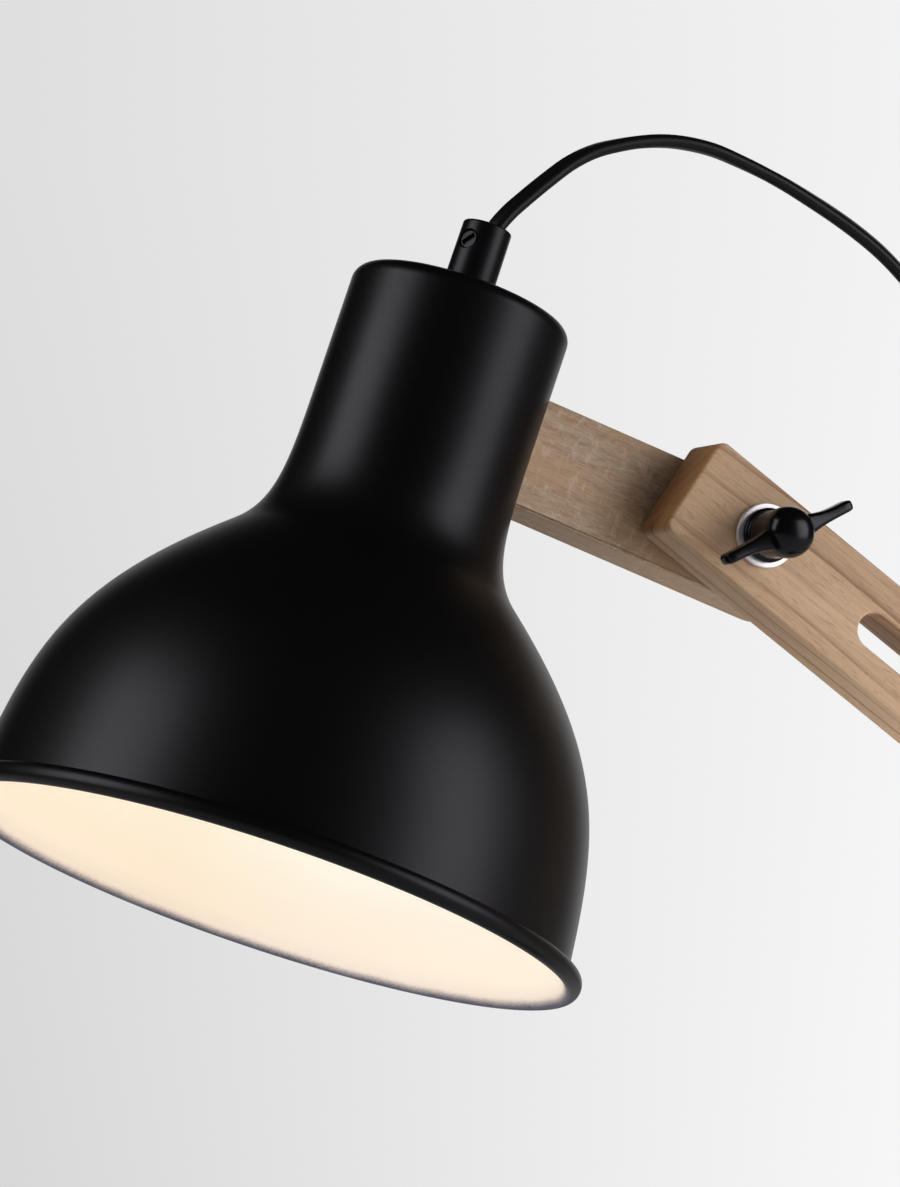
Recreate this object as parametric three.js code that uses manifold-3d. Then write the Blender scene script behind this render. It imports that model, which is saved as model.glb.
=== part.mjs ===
// Table lamp: a bell shade on a short wooden arm, a slotted wooden arm and a post on a round base.
// Millimetres. Z is up, X runs from the shade towards the post, and the front is at -Y.
// The origin is the middle of the base's underside, and the post stands on the Z axis.

import * as THREE from "three";
import { mergeVertices } from "three/addons/utils/BufferGeometryUtils.js";
import Module from "manifold-3d";

const wasm = await Module();
wasm.setup();

// Shares and counts

const halfShare = 0.5;
const degree = Math.PI / 180;
const quarterTurn = 90 * degree;
const fineSegments = 40;
const roundSegments = 20;
const smallSegments = 12;
const hexSides = 6;
const cordSides = 8;
const arcSteps = 6;
const cornerSteps = 3;

// Fits between pieces

const fitGap = 0.3;
const curvedSeatGap = 0.6;
const cutOverrun = 2;

// Base

const padRadius = 96;
const padThickness = 3;
const baseRadius = 100;
const baseThickness = 10;
const baseEdge = 1.5;

// Post

const postWidth = 30;
const postDepth = 30;
const postAboveClamp = 30;
const postEdge = 1.5;
const postScrewSpacing = 16;
const postScrewRadius = 3;
const postScrewHeadRadius = 6;
const postScrewHeadHeight = 3.4;
const postScrewLength = 44;

// Where the arms sit and lean

const clampHeight = 320;
const clampAlong = 185;
const armLean = 35.42 * degree;
const headLean = 20 * degree;
const armGap = 1.07;

// Slotted arm

const slottedWidth = 30.25;
const slottedThickness = 18;
const slottedRise = -0.92;
const slottedOverhang = 25.78;
const slottedCorner = 3;
const slotStart = 37.5;
const slotLength = 200;
const slotWidth = 10;
const slotTailMargin = 27.5;
const woodEase = 0.6;

// Head arm

const headArmWidth = 31.4;
const headArmThickness = 18;
const headArmRise = -0.05;
const headArmOverhang = 25.5;
const headArmCorner = 8;
const headArmButtCorner = 1;
const copeDepth = 1.35;

// Shade: heights are measured down from the top of the neck

const shadeReach = 95.6;
const neckTop = 34.6;
const neckRadius = 31.19;
const neckHeight = 35.87;
const neckFillet = 4.5;
const shadeHeight = 173.4;
const mouthRadius = 85.42;
const shadeWall = 1.2;
const beadReach = 2.25;
const beadRise = 2.9;
const flankHeightShares = [0, 0.1811, 0.2636, 0.3284, 0.5649, 0.7078, 1];
const flankRadiusShares = [0, 0, 0.0044, 0.1912, 0.8722, 0.9347, 1];
const flankSteps = 5;
const beadStart = 150 * degree;
const beadEnd = -130 * degree;
const beadSteps = 6;

// Cable grip on the neck

const gripRadius = 7.1;
const gripTopRadius = 6.9;
const gripHeight = 21.2;
const gripEdge = 0.7;
const gripBore = 4.4;
const gripThreadDepth = 11;
const gripScrewDrop = 5.6;
const gripScrewTurn = -144 * degree;
const gripScrewRecess = 3;
const gripScrewRecessDepth = 2.4;
const gripScrewHead = 2.4;
const gripScrewHeadHeight = 1.4;
const gripScrewShank = 1.7;
const gripScrewTip = 0.9;

// Threaded tube and its nut

const nippleRadius = 5;
const nippleBore = 3.5;
const nippleDrop = 8.5;
const nutCorner = 8.2;
const nutBore = 6.2;
const nutThickness = 3;

// Lampholder

const holderRadius = 20;
const holderMouthRadius = 19.4;
const holderWall = 1.8;
const holderTopWall = 2;
const holderCapHeight = 21;
const holderCrownShares = [[0.5, 0], [0.85, 0.17], [1, 0.48]];
const holderBodyHeight = 34.7;
const holderSpigot = 3.2;
const holderFloor = 2.5;
const holderBore = 14.6;
const holderShellWall = 0.65;
const holderShellHeight = 25;
const contactRadius = 4;
const contactThickness = 1;

// Bulb

const bulbCapRadius = 13.2;
const bulbCapWall = 1.7;
const bulbCapHeight = 26.4;
const bulbCapConeShares = [[0.35, 0], [0.6, 0.06], [1, 0.16]];
const bulbCapFloorShare = 0.25;
const bulbNeckRadius = 11.2;
const bulbNeckDepth = 12;
const bulbRadius = 30;
const bulbLength = 79;
const bulbWall = 1;
const bulbOutlineShares = [
  [0.42, 0.05], [0.57, 0.18], [0.8, 0.33], [0.95, 0.47], [1, 0.62], [0.93, 0.76], [0.73, 0.89], [0.4, 0.97],
];

// Saddle plate and screws inside the neck

const saddleThickness = 2;
const saddleHeight = 26;
const saddleHalfAngle = 24 * degree;
const neckScrewSpacing = 16;
const neckScrewRadius = 2;
const neckScrewHead = 3.8;
const neckScrewHeadHeight = 2.4;
const neckScrewLength = 38;

// Clamping bolts, washers and wing nuts

const boltRadius = 3;
const boltHeadRadius = 8;
const boltHeadHeight = 3.4;
const boltHeadShares = [[1, 0], [0.93, 0.35], [0.68, 0.76], [0.35, 0.96]];
const boltNeckSide = 6.6;
const boltNeckDepth = 3.5;
const washerRadius = 9;
const washerThickness = 1.5;
const nutFootRadius = 7.6;
const nutFootHeight = 1.4;
const nutWaistRadius = 6.6;
const nutCapRadius = 7;
const nutHeight = 18.9;
const nutCapHeight = 8;
const nutCapShares = [[1, 0.25], [0.94, 0.52], [0.74, 0.79], [0.42, 0.95]];
const nutBoreDepth = 12.9;
const wingReach = 20.7;
const wingRootThickness = 6;
const wingTipThickness = 3.3;
const wingDepth = 5.8;
const wingSetback = 8.9;
const wingTurn = -21.7 * degree;

// Cord clips and their screws

const cordRadius = 2.35;
const clipWall = 1.2;
const clipLength = 8;
const clipFoot = 9;
const clipScrewRadius = 1.4;
const clipScrewHead = 2.6;
const clipScrewHeadHeight = 1.6;
const clipScrewLength = 11;
const armClipAlong = 112;
const armClipRise = 1;
const armClipTurn = 142 * degree;
const upperClipHeight = 185;
const lowerClipHeight = 50;

// Switch on the lead

const switchX = -199;
const switchY = 146;
const switchLength = 62;
const switchWidth = 25;
const switchHeight = 18;
const switchCorner = 6;
const switchEase = 1.5;
const switchWall = 1.8;
const rockerLength = 21;
const rockerWidth = 11.4;
const rockerThickness = 6;
const rockerRise = 2;
const rockerLean = 8 * degree;
const sleeveLength = 22;
const sleeveFoot = 5.2;
const sleeveTip = 3.3;

// Plug at the end of the lead

const plugX = 66;
const plugY = 190;
const plugLength = 37;
const plugWidth = 35.3;
const plugBackShare = 0.62;
const plugShoulderShare = 0.72;
const plugThickness = 13.6;
const plugEase = 1.6;
const pinRadius = 2;
const pinLength = 19;
const pinSeat = 6;
const pinSpacing = 18.6;

// Coil of the lead and its tie

const coilX = -52;
const coilY = 175;
const coilRadius = 30;
const coilBundleWidth = 11.7;
const coilBundleHeight = 11.4;
const coilBundleEdge = 1.6;
const tieThickness = 0.8;
const tieLength = 6;

// Places worked out from the sizes above

const postTop = clampHeight + postAboveClamp;
const postFront = -postDepth * halfShare;
const headArmBack = postFront + headArmThickness;
const shadeY = postFront + headArmThickness * halfShare;
const slottedTail = slotStart + slotLength + slotTailMargin;
const slottedBack = postFront - armGap;
const slottedFront = slottedBack - slottedThickness;
const nutSeat = slottedFront - washerThickness - fitGap - fitGap;
const boltTip = nutSeat - nutBoreDepth + fitGap;
const boltHole = boltRadius + fitGap;
const baseBottom = padThickness + fitGap;
const baseTop = baseBottom + baseThickness;
const postFoot = baseTop + fitGap;
const pivotX = -clampAlong * Math.cos(armLean) - slottedRise * Math.sin(armLean);
const pivotZ = clampHeight + clampAlong * Math.sin(armLean) - slottedRise * Math.cos(armLean);
const switchCordHeight = switchHeight * halfShare;

// Making and joining closed bodies

function solid(geometry) {
  geometry.deleteAttribute("normal");
  geometry.deleteAttribute("uv");
  const merged = mergeVertices(geometry);
  const place = merged.getAttribute("position");
  const corner = [new THREE.Vector3(), new THREE.Vector3(), new THREE.Vector3()];
  const kept = [];
  let volume = 0;
  for (let i = 0; i < merged.index.count; i += corner.length) {
    const [a, b, c] = [merged.index.getX(i), merged.index.getX(i + 1), merged.index.getX(i + 2)];
    if (a === b || b === c || c === a) continue;
    kept.push([a, b, c]);
    [a, b, c].forEach((vertex, k) => corner[k].fromBufferAttribute(place, vertex));
    volume += corner[0].dot(corner[1].cross(corner[2]));
  }
  merged.setIndex(kept.flatMap(([a, b, c]) => (volume < 0 ? [a, c, b] : [a, b, c])));
  return merged;
}

function toManifold(geometry) {
  const body = solid(geometry);
  const vertProperties = new Float32Array(body.getAttribute("position").array);
  const triVerts = new Uint32Array(body.index.array);
  return new wasm.Manifold(new wasm.Mesh({ numProp: 3, vertProperties, triVerts }));
}

function fromManifold(body) {
  const mesh = body.getMesh();
  const geometry = new THREE.BufferGeometry();
  geometry.setAttribute("position", new THREE.BufferAttribute(new Float32Array(mesh.vertProperties), 3));
  geometry.setIndex(Array.from(mesh.triVerts));
  return geometry;
}

function cut(geometry, ...tools) {
  return fromManifold(tools.reduce((body, tool) => body.subtract(toManifold(tool)), toManifold(geometry)));
}

function join(geometry, ...others) {
  return fromManifold(others.reduce((body, other) => body.add(toManifold(other)), toManifold(geometry)));
}

function vectors(points) {
  return points.map(([x, y]) => new THREE.Vector2(x, y));
}

// A profile of radius and height turned about Y, with its last point joined to its first.
function turned(profile, segments = roundSegments) {
  const onAxis = profile[0][0] === 0;
  const points = onAxis ? profile : [...profile, profile[0]];
  return solid(new THREE.LatheGeometry(vectors(points), segments));
}

// The same, turned about Z.
function upright(profile, segments = roundSegments) {
  return turned(profile, segments).rotateX(quarterTurn);
}

function ring(inner, outer, start, end) {
  return [[inner, start], [outer, start], [outer, end], [inner, end]];
}

function rod(radius, start, end, segments = smallSegments) {
  return turned([[0, start], [radius, start], [radius, end], [0, end]], segments);
}

function roundedShape(left, bottom, width, height, radii) {
  const [lowRight, highRight, highLeft, lowLeft] = radii;
  const shape = new THREE.Shape();
  const right = left + width;
  const top = bottom + height;
  shape.moveTo(left + lowLeft, bottom);
  shape.lineTo(right - lowRight, bottom);
  shape.absarc(right - lowRight, bottom + lowRight, lowRight, -quarterTurn, 0);
  shape.lineTo(right, top - highRight);
  shape.absarc(right - highRight, top - highRight, highRight, 0, quarterTurn);
  shape.lineTo(left + highLeft, top);
  shape.absarc(left + highLeft, top - highLeft, highLeft, quarterTurn, Math.PI);
  shape.lineTo(left, bottom + lowLeft);
  shape.absarc(left + lowLeft, bottom + lowLeft, lowLeft, Math.PI, Math.PI + quarterTurn);
  return shape;
}

function evenShape(width, height, radius) {
  const corners = [radius, radius, radius, radius];
  return roundedShape(-width * halfShare, -height * halfShare, width, height, corners);
}

// A slab that stands on Z = 0 with eased edges.
function slab(shape, thickness, ease = 0) {
  const bevel = { bevelEnabled: ease > 0, bevelSize: ease, bevelThickness: ease, bevelOffset: -ease, bevelSegments: 1 };
  const depth = thickness - ease - ease;
  return solid(new THREE.ExtrudeGeometry(shape, { depth, curveSegments: cornerSteps, ...bevel }).translate(0, 0, ease));
}

// A plank drawn in X and Z, with its back face at the given Y.
function plank(shape, thickness, back, ease) {
  return slab(shape, thickness, ease).rotateX(quarterTurn).translate(0, back, 0);
}

function box(x0, y0, z0, x1, y1, z1) {
  const geometry = new THREE.BoxGeometry(x1 - x0, y1 - y0, z1 - z0);
  return solid(geometry.translate((x0 + x1) * halfShare, (y0 + y1) * halfShare, (z0 + z1) * halfShare));
}

function named(name, geometry, material, group) {
  const { color, roughness, metalness } = material;
  const mesh = new THREE.Mesh(geometry, new THREE.MeshStandardMaterial({ color, roughness, metalness }));
  mesh.name = name;
  group.add(mesh);
  return mesh;
}

// Looks

const blackPaint = { color: 0x141414, roughness: 0.45, metalness: 0.1 };
const blackPlastic = { color: 0x171717, roughness: 0.4, metalness: 0 };
const rubberBlack = { color: 0x1c1c1c, roughness: 0.8, metalness: 0 };
const pine = { color: 0xb29778, roughness: 0.7, metalness: 0 };
const chrome = { color: 0xd8d8da, roughness: 0.12, metalness: 1 };
const steel = { color: 0x9b9da0, roughness: 0.35, metalness: 1 };
const brass = { color: 0xb99a4e, roughness: 0.3, metalness: 1 };
const fibre = { color: 0x4a3a2e, roughness: 0.85, metalness: 0 };
const frosted = { color: 0xfff2d8, roughness: 0.5, metalness: 0 };
const foam = { color: 0x242424, roughness: 0.95, metalness: 0 };

// The two groups that lean: each has its origin where the upper bolt's axis meets Y = 0.

const lamp = new THREE.Group();
const armGroup = new THREE.Group();
armGroup.position.set(pivotX, 0, pivotZ);
armGroup.rotation.y = armLean;
const headGroup = new THREE.Group();
headGroup.position.set(pivotX, 0, pivotZ);
headGroup.rotation.y = headLean;
lamp.add(armGroup, headGroup);

// Shade

function flankPoints() {
  const places = flankHeightShares.map((share, i) => new THREE.Vector2(
    neckRadius + (mouthRadius - neckRadius) * flankRadiusShares[i],
    -neckHeight - (shadeHeight - neckHeight) * share,
  ));
  const curves = [places.slice(0, 4), places.slice(3)].map((four) => new THREE.CubicBezierCurve(...four));
  return curves.flatMap((curve, half) => {
    const points = [];
    for (let i = half; i <= flankSteps; i += 1) {
      const place = curve.getPoint(i / flankSteps);
      const way = curve.getTangent(i / flankSteps);
      points.push({ outer: [place.x, place.y], inner: [place.x + way.y * shadeWall, place.y - way.x * shadeWall] });
    }
    return points;
  });
}

function arcPoints(x, y, radius, start, end, steps) {
  return Array.from({ length: steps + 1 }, (_, i) => {
    const angle = start + ((end - start) * i) / steps;
    return [x + radius * Math.cos(angle), y + radius * Math.sin(angle)];
  });
}

// The rolled bead round the mouth is taller than it is wide.
function beadPoints() {
  const centre = mouthRadius + beadReach;
  return Array.from({ length: beadSteps + 1 }, (_, i) => {
    const angle = beadStart + ((beadEnd - beadStart) * i) / beadSteps;
    return [centre + beadReach * Math.cos(angle), -shadeHeight + beadRise * Math.sin(angle)];
  });
}

function shadeProfile() {
  const flank = flankPoints();
  const filletCentre = neckRadius - neckFillet;
  const innerFillet = neckFillet - shadeWall;
  const boreRadius = nippleRadius + fitGap;
  return [
    [boreRadius, 0],
    ...arcPoints(filletCentre, -neckFillet, neckFillet, quarterTurn, 0, arcSteps - 2),
    ...flank.map((point) => point.outer),
    ...beadPoints(),
    ...flank.map((point) => point.inner).reverse(),
    ...arcPoints(filletCentre, -neckFillet, innerFillet, 0, quarterTurn, arcSteps - 2),
    [boreRadius, -shadeWall],
  ];
}

const neckScrewRises = [-neckScrewSpacing * halfShare, neckScrewSpacing * halfShare];

// A rod along X at the height of a neck screw.
function neckHole(radius, start, end, rise) {
  return rod(radius, -end, -start).rotateZ(quarterTurn).translate(-shadeReach, shadeY, rise);
}

function atNeck(geometry) {
  return geometry.translate(-shadeReach, shadeY, neckTop);
}

const shadeHoles = neckScrewRises.map((rise) => (
  neckHole(neckScrewRadius + fitGap, neckRadius * halfShare, neckRadius + cutOverrun, rise)
));
const shadeBody = atNeck(upright(shadeProfile(), fineSegments));
named("shade", cut(shadeBody, ...shadeHoles), blackPaint, headGroup);

// Cable grip, its side screw, the threaded tube and the nut under the neck's top

function gripProfile() {
  return [
    [nippleRadius + fitGap, fitGap],
    [gripRadius, fitGap],
    [gripTopRadius, gripHeight - gripEdge],
    [gripTopRadius - gripEdge, gripHeight],
    [gripBore, gripHeight],
    [gripBore, gripThreadDepth],
    [nippleRadius + fitGap, gripThreadDepth],
  ];
}

// Moves a piece that was turned about Y, with its outer end at -Y, to the grip's side screw.
function atGripScrew(geometry) {
  return atNeck(geometry.rotateZ(gripScrewTurn + quarterTurn).translate(0, 0, gripHeight - gripScrewDrop));
}

const recessFloor = gripTopRadius - gripScrewRecessDepth;
const gripTools = [
  atGripScrew(rod(gripScrewRecess, -gripTopRadius - cutOverrun, -recessFloor)),
  atGripScrew(rod(gripScrewShank + fitGap, -gripTopRadius, 0)),
];
named("cable_grip", cut(atNeck(upright(gripProfile())), ...gripTools), blackPlastic, headGroup);

const gripScrewSeat = recessFloor + fitGap;
const gripScrewProfile = [
  [0, -gripScrewSeat - gripScrewHeadHeight],
  [gripScrewHead, -gripScrewSeat - gripScrewHeadHeight],
  [gripScrewHead, -gripScrewSeat],
  [gripScrewShank, -gripScrewSeat],
  [gripScrewShank, -gripScrewTip],
  [0, -gripScrewTip],
];
named("cable_grip_screw", atGripScrew(turned(gripScrewProfile, smallSegments)), blackPlastic, headGroup);

const nippleProfile = ring(nippleBore, nippleRadius, -nippleDrop, gripThreadDepth - fitGap);
named("shade_nipple", atNeck(upright(nippleProfile, smallSegments)), steel, headGroup);

const nutTop = -shadeWall - fitGap;
const nippleNutProfile = ring(nutBore, nutCorner, nutTop - nutThickness, nutTop);
named("nipple_nut", atNeck(upright(nippleNutProfile, hexSides)), steel, headGroup);

// Lampholder

const holderTop = nutTop - nutThickness - fitGap;
const holderJoint = holderTop - holderCapHeight;
const crown = holderCrownShares.map(([across, down]) => [holderRadius * across, holderTop - holderCapHeight * down]);
const holderCapProfile = [
  [nippleRadius + fitGap, holderTop],
  ...crown,
  [holderRadius, holderJoint],
  [holderRadius - holderWall, holderJoint],
  ...crown.map(([r, z]) => [r - holderWall, z - holderTopWall]).reverse(),
  [nippleRadius + fitGap, holderTop - holderTopWall],
];
named("lampholder_cap", atNeck(upright(holderCapProfile)), blackPlastic, headGroup);

const bodyTop = holderJoint - fitGap;
const bodyMouth = bodyTop - holderBodyHeight;
const floorTop = bodyTop - holderSpigot;
const spigotRadius = holderRadius - holderWall;
const holderBodyProfile = [
  [0, floorTop],
  [spigotRadius, floorTop],
  [spigotRadius, bodyTop],
  [holderRadius, bodyTop],
  [holderMouthRadius, bodyMouth],
  [holderBore, bodyMouth],
  [holderBore, floorTop - holderFloor],
  [0, floorTop - holderFloor],
];
named("lampholder_body", atNeck(upright(holderBodyProfile)), blackPlastic, headGroup);

const contactTop = floorTop - holderFloor - fitGap;
const shellOuter = holderBore - fitGap;
const holderShellProfile = ring(shellOuter - holderShellWall, shellOuter, contactTop - holderShellHeight, contactTop);
named("lampholder_shell", atNeck(upright(holderShellProfile)), brass, headGroup);
const contactProfile = [[0, contactTop], [contactRadius, contactTop], [contactRadius, contactTop - contactThickness],
  [0, contactTop - contactThickness]];
named("lampholder_contact", atNeck(upright(contactProfile, smallSegments)), brass, headGroup);

// Bulb

const bulbTop = contactTop - contactThickness - fitGap;
const bulbCapEnd = bulbTop - bulbCapHeight;
const bulbCapProfile = [
  [0, bulbTop],
  ...bulbCapConeShares.map(([across, down]) => [bulbCapRadius * across, bulbTop - bulbCapHeight * down]),
  [bulbCapRadius, bulbCapEnd],
  [bulbCapRadius - bulbCapWall, bulbCapEnd],
  [bulbCapRadius - bulbCapWall, bulbTop - bulbCapHeight * bulbCapFloorShare],
  [0, bulbTop - bulbCapHeight * bulbCapFloorShare],
];
named("bulb_cap", atNeck(upright(bulbCapProfile)), steel, headGroup);

const glassOutline = bulbOutlineShares.map(([across, down]) => [bulbRadius * across, bulbCapEnd - bulbLength * down]);
const glassInside = bulbOutlineShares.map(([across, down]) => [
  bulbRadius * across - bulbWall,
  bulbCapEnd - (bulbLength - bulbWall) * down,
]);
const glassProfile = [
  [0, bulbCapEnd - bulbLength + bulbWall],
  ...glassInside.reverse(),
  [bulbNeckRadius - bulbWall, bulbCapEnd + bulbNeckDepth],
  [bulbNeckRadius, bulbCapEnd + bulbNeckDepth],
  [bulbNeckRadius, bulbCapEnd],
  ...glassOutline,
  [0, bulbCapEnd - bulbLength],
];
named("bulb_glass", atNeck(upright(glassProfile)), frosted, headGroup);

// Saddle plate and two screws that hold the neck to the head arm

const saddleOuter = neckRadius - shadeWall - fitGap;
const saddleInner = saddleOuter - saddleThickness;
const saddleShape = new THREE.Shape();
saddleShape.absarc(0, 0, saddleOuter, -saddleHalfAngle, saddleHalfAngle);
saddleShape.absarc(0, 0, saddleInner, saddleHalfAngle, -saddleHalfAngle, true);
const saddleBody = slab(saddleShape, saddleHeight).translate(-shadeReach, shadeY, -saddleHeight * halfShare);
const saddleHoles = neckScrewRises.map((rise) => (
  neckHole(neckScrewRadius + fitGap, saddleInner - cutOverrun, neckRadius, rise)
));
named("neck_saddle", cut(saddleBody, ...saddleHoles), steel, headGroup);

const neckScrewSeat = saddleInner - curvedSeatGap;
const neckScrewProfile = [
  [0, neckScrewHeadHeight],
  [neckScrewHead, neckScrewHeadHeight * halfShare],
  [neckScrewHead, 0],
  [neckScrewRadius, 0],
  [neckScrewRadius, -neckScrewLength + neckScrewRadius],
  [0, -neckScrewLength],
];
["lower", "upper"].forEach((which, i) => {
  const screw = turned(neckScrewProfile, smallSegments).rotateZ(quarterTurn);
  screw.translate(neckScrewSeat - shadeReach, shadeY, neckScrewRises[i]);
  named(`neck_screw_${which}`, screw, steel, headGroup);
});

// Arms

function acrossHole(radius, x, z, front, back) {
  return rod(radius, front - cutOverrun, back + cutOverrun, roundSegments).translate(x, 0, z);
}

function squareRecess(back) {
  const side = boltNeckSide * halfShare + fitGap;
  return box(-side, back - boltNeckDepth - fitGap, -side, side, back + cutOverrun, side);
}

const copeRadius = neckRadius + fitGap;
const buttEnd = copeRadius - copeDepth - shadeReach;
const headArmShape = roundedShape(
  buttEnd,
  headArmRise - headArmWidth * halfShare,
  headArmOverhang - buttEnd,
  headArmWidth,
  [headArmCorner, headArmCorner, headArmButtCorner, headArmButtCorner],
);
const neckPilots = neckScrewRises.map((rise) => (
  neckHole(neckScrewRadius + fitGap, neckRadius, neckScrewSeat + neckScrewLength + fitGap, rise)
));
const headArmBody = plank(headArmShape, headArmThickness, headArmBack, woodEase);
// The end of the head arm is hollowed to the round of the neck.
const copeTop = headArmWidth * halfShare + cutOverrun;
const copeProfile = [[0, copeTop], [copeRadius, copeTop], [copeRadius, -copeTop], [0, -copeTop]];
const neckCope = upright(copeProfile, fineSegments).translate(-shadeReach, shadeY, headArmRise);
const headArmTools = [
  acrossHole(boltHole, 0, 0, postFront, headArmBack),
  squareRecess(headArmBack),
  neckCope,
  ...neckPilots,
];
named("head_arm", cut(headArmBody, ...headArmTools), pine, headGroup);

const slottedShape = roundedShape(
  -slottedOverhang,
  slottedRise - slottedWidth * halfShare,
  slottedOverhang + slottedTail,
  slottedWidth,
  [slottedCorner, slottedCorner, slottedCorner, slottedCorner],
);
const slotEndRadius = slotWidth * halfShare;
const slotShape = roundedShape(
  slotStart,
  slottedRise - slotEndRadius,
  slotLength,
  slotWidth,
  [slotEndRadius, slotEndRadius, slotEndRadius, slotEndRadius],
);
const slotTool = plank(slotShape, slottedThickness + cutOverrun + cutOverrun, slottedBack + cutOverrun, 0);

// Cord clips: drawn on a wooden face at Y = 0, with the cord along Z

const clipInner = cordRadius + fitGap;
const clipOuter = clipInner + clipWall;
const clipCordLift = fitGap + clipInner;
const clipScrewX = clipOuter + clipFoot * halfShare;

function clipGeometry() {
  const outline = [
    [clipOuter + clipFoot, fitGap],
    [clipOuter + clipFoot, fitGap + clipWall],
    [clipOuter, fitGap + clipWall],
    ...arcPoints(0, clipCordLift, clipOuter, 0, Math.PI, arcSteps),
    [-clipOuter, fitGap],
    [-clipInner, fitGap],
    ...arcPoints(0, clipCordLift, clipInner, Math.PI, 0, arcSteps),
    [clipInner, fitGap],
  ];
  const body = slab(new THREE.Shape(vectors(outline)), clipLength).translate(0, 0, -clipLength * halfShare);
  return cut(body, rod(clipScrewRadius + fitGap, -cutOverrun, clipOuter).translate(clipScrewX, 0, 0));
}

const clipScrewSeat = fitGap + clipWall + fitGap;
const clipScrewProfile = [
  [0, clipScrewSeat + clipScrewHeadHeight],
  [clipScrewHead, clipScrewSeat + clipScrewHeadHeight * halfShare],
  [clipScrewHead, clipScrewSeat],
  [clipScrewRadius, clipScrewSeat],
  [clipScrewRadius, clipScrewSeat - clipScrewLength],
  [0, clipScrewSeat - clipScrewLength],
];

// The hole that a clip's screw needs in the wood, in the clip's own place.
function clipPilot(place) {
  const tool = rod(clipScrewRadius + fitGap, clipScrewSeat - clipScrewLength - fitGap, cutOverrun);
  return tool.translate(clipScrewX, 0, 0).applyMatrix4(place);
}

function clipPlace(x, y, z, turnY, turnZ) {
  const turn = new THREE.Quaternion().setFromEuler(new THREE.Euler(0, turnY, turnZ));
  return new THREE.Matrix4().compose(new THREE.Vector3(x, y, z), turn, new THREE.Vector3(1, 1, 1));
}

function addClip(name, place, group) {
  named(name, clipGeometry().applyMatrix4(place), blackPlastic, group);
  const screw = turned(clipScrewProfile, smallSegments).translate(clipScrewX, 0, 0);
  named(`${name}_screw`, screw.applyMatrix4(place), steel, group);
}

const armClipPlace = clipPlace(armClipAlong, slottedBack, armClipRise, armClipTurn, 0);
const postSide = -postWidth * halfShare;
const upperClipPlace = clipPlace(postSide, 0, upperClipHeight, 0, quarterTurn);
const lowerClipPlace = clipPlace(postSide, 0, lowerClipHeight, 0, quarterTurn);
addClip("arm_cord_clip", armClipPlace, armGroup);
addClip("post_cord_clip_upper", upperClipPlace, lamp);
addClip("post_cord_clip_lower", lowerClipPlace, lamp);

const slottedBody = plank(slottedShape, slottedThickness, slottedBack, woodEase);
const slottedTools = [slotTool, acrossHole(boltHole, 0, 0, slottedFront, slottedBack), clipPilot(armClipPlace)];
named("slotted_arm", cut(slottedBody, ...slottedTools), pine, armGroup);

// Clamping bolts with a square neck and a domed head at the back

function boltGeometry(back) {
  const seat = back + fitGap;
  const dome = boltHeadShares.map(([across, out]) => [boltHeadRadius * across, seat + boltHeadHeight * out]);
  const profile = [[0, boltTip], [boltRadius, boltTip], [boltRadius, seat], ...dome, [0, seat + boltHeadHeight]];
  const side = boltNeckSide * halfShare;
  return join(turned(profile), box(-side, back - boltNeckDepth, -side, side, seat + fitGap, side));
}

// Wing nut: its seat is at Y = 0 and its cap points to -Y

function wingShape() {
  const root = wingRootThickness * halfShare;
  const tip = wingTipThickness * halfShare;
  const start = boltHole + wallUnderWing;
  const shape = new THREE.Shape();
  shape.moveTo(start, -root);
  shape.lineTo(wingReach - tip, -tip);
  shape.absarc(wingReach - tip, 0, tip, -quarterTurn, quarterTurn);
  shape.lineTo(start, root);
  return shape;
}

function wingNutGeometry() {
  const capStart = nutHeight - nutCapHeight;
  const cap = nutCapShares.map(([across, out]) => [nutCapRadius * across, -capStart - nutCapHeight * out]);
  const profile = [
    [0, -nutBoreDepth],
    [boltHole, -nutBoreDepth],
    [boltHole, 0],
    [nutFootRadius, 0],
    [nutFootRadius, -nutFootHeight],
    [nutWaistRadius, -nutFootHeight - nutFootHeight * halfShare],
    [nutWaistRadius, -capStart],
    ...cap,
    [0, -nutHeight],
  ];
  const wing = () => plank(wingShape(), wingDepth, -wingSetback, 0);
  return join(turned(profile), wing(), wing().rotateY(Math.PI)).rotateY(wingTurn);
}

const wallUnderWing = (nutWaistRadius - boltHole) * halfShare;
const frontWasherProfile = ring(boltHole, washerRadius, slottedFront - fitGap - washerThickness, slottedFront - fitGap);
const thinWasherProfile = ring(boltHole, washerRadius, slottedBack + fitGap, postFront - fitGap);

function addClampPieces(which, x, z, bolt) {
  const pieces = [
    [`${which}_bolt`, boltGeometry(bolt), steel],
    [`${which}_friction_washer`, turned(thinWasherProfile), fibre],
    [`${which}_front_washer`, turned(frontWasherProfile), chrome],
    [`${which}_wing_nut`, wingNutGeometry().translate(0, nutSeat, 0), blackPlastic],
  ];
  for (const [name, geometry, material] of pieces) {
    named(name, geometry, material, lamp).position.set(x, 0, z);
  }
}

addClampPieces("upper", pivotX, pivotZ, headArmBack);
addClampPieces("lower", 0, clampHeight, postDepth * halfShare);
lamp.getObjectByName("upper_bolt").rotation.y = headLean;

// Post, base and pad

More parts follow.
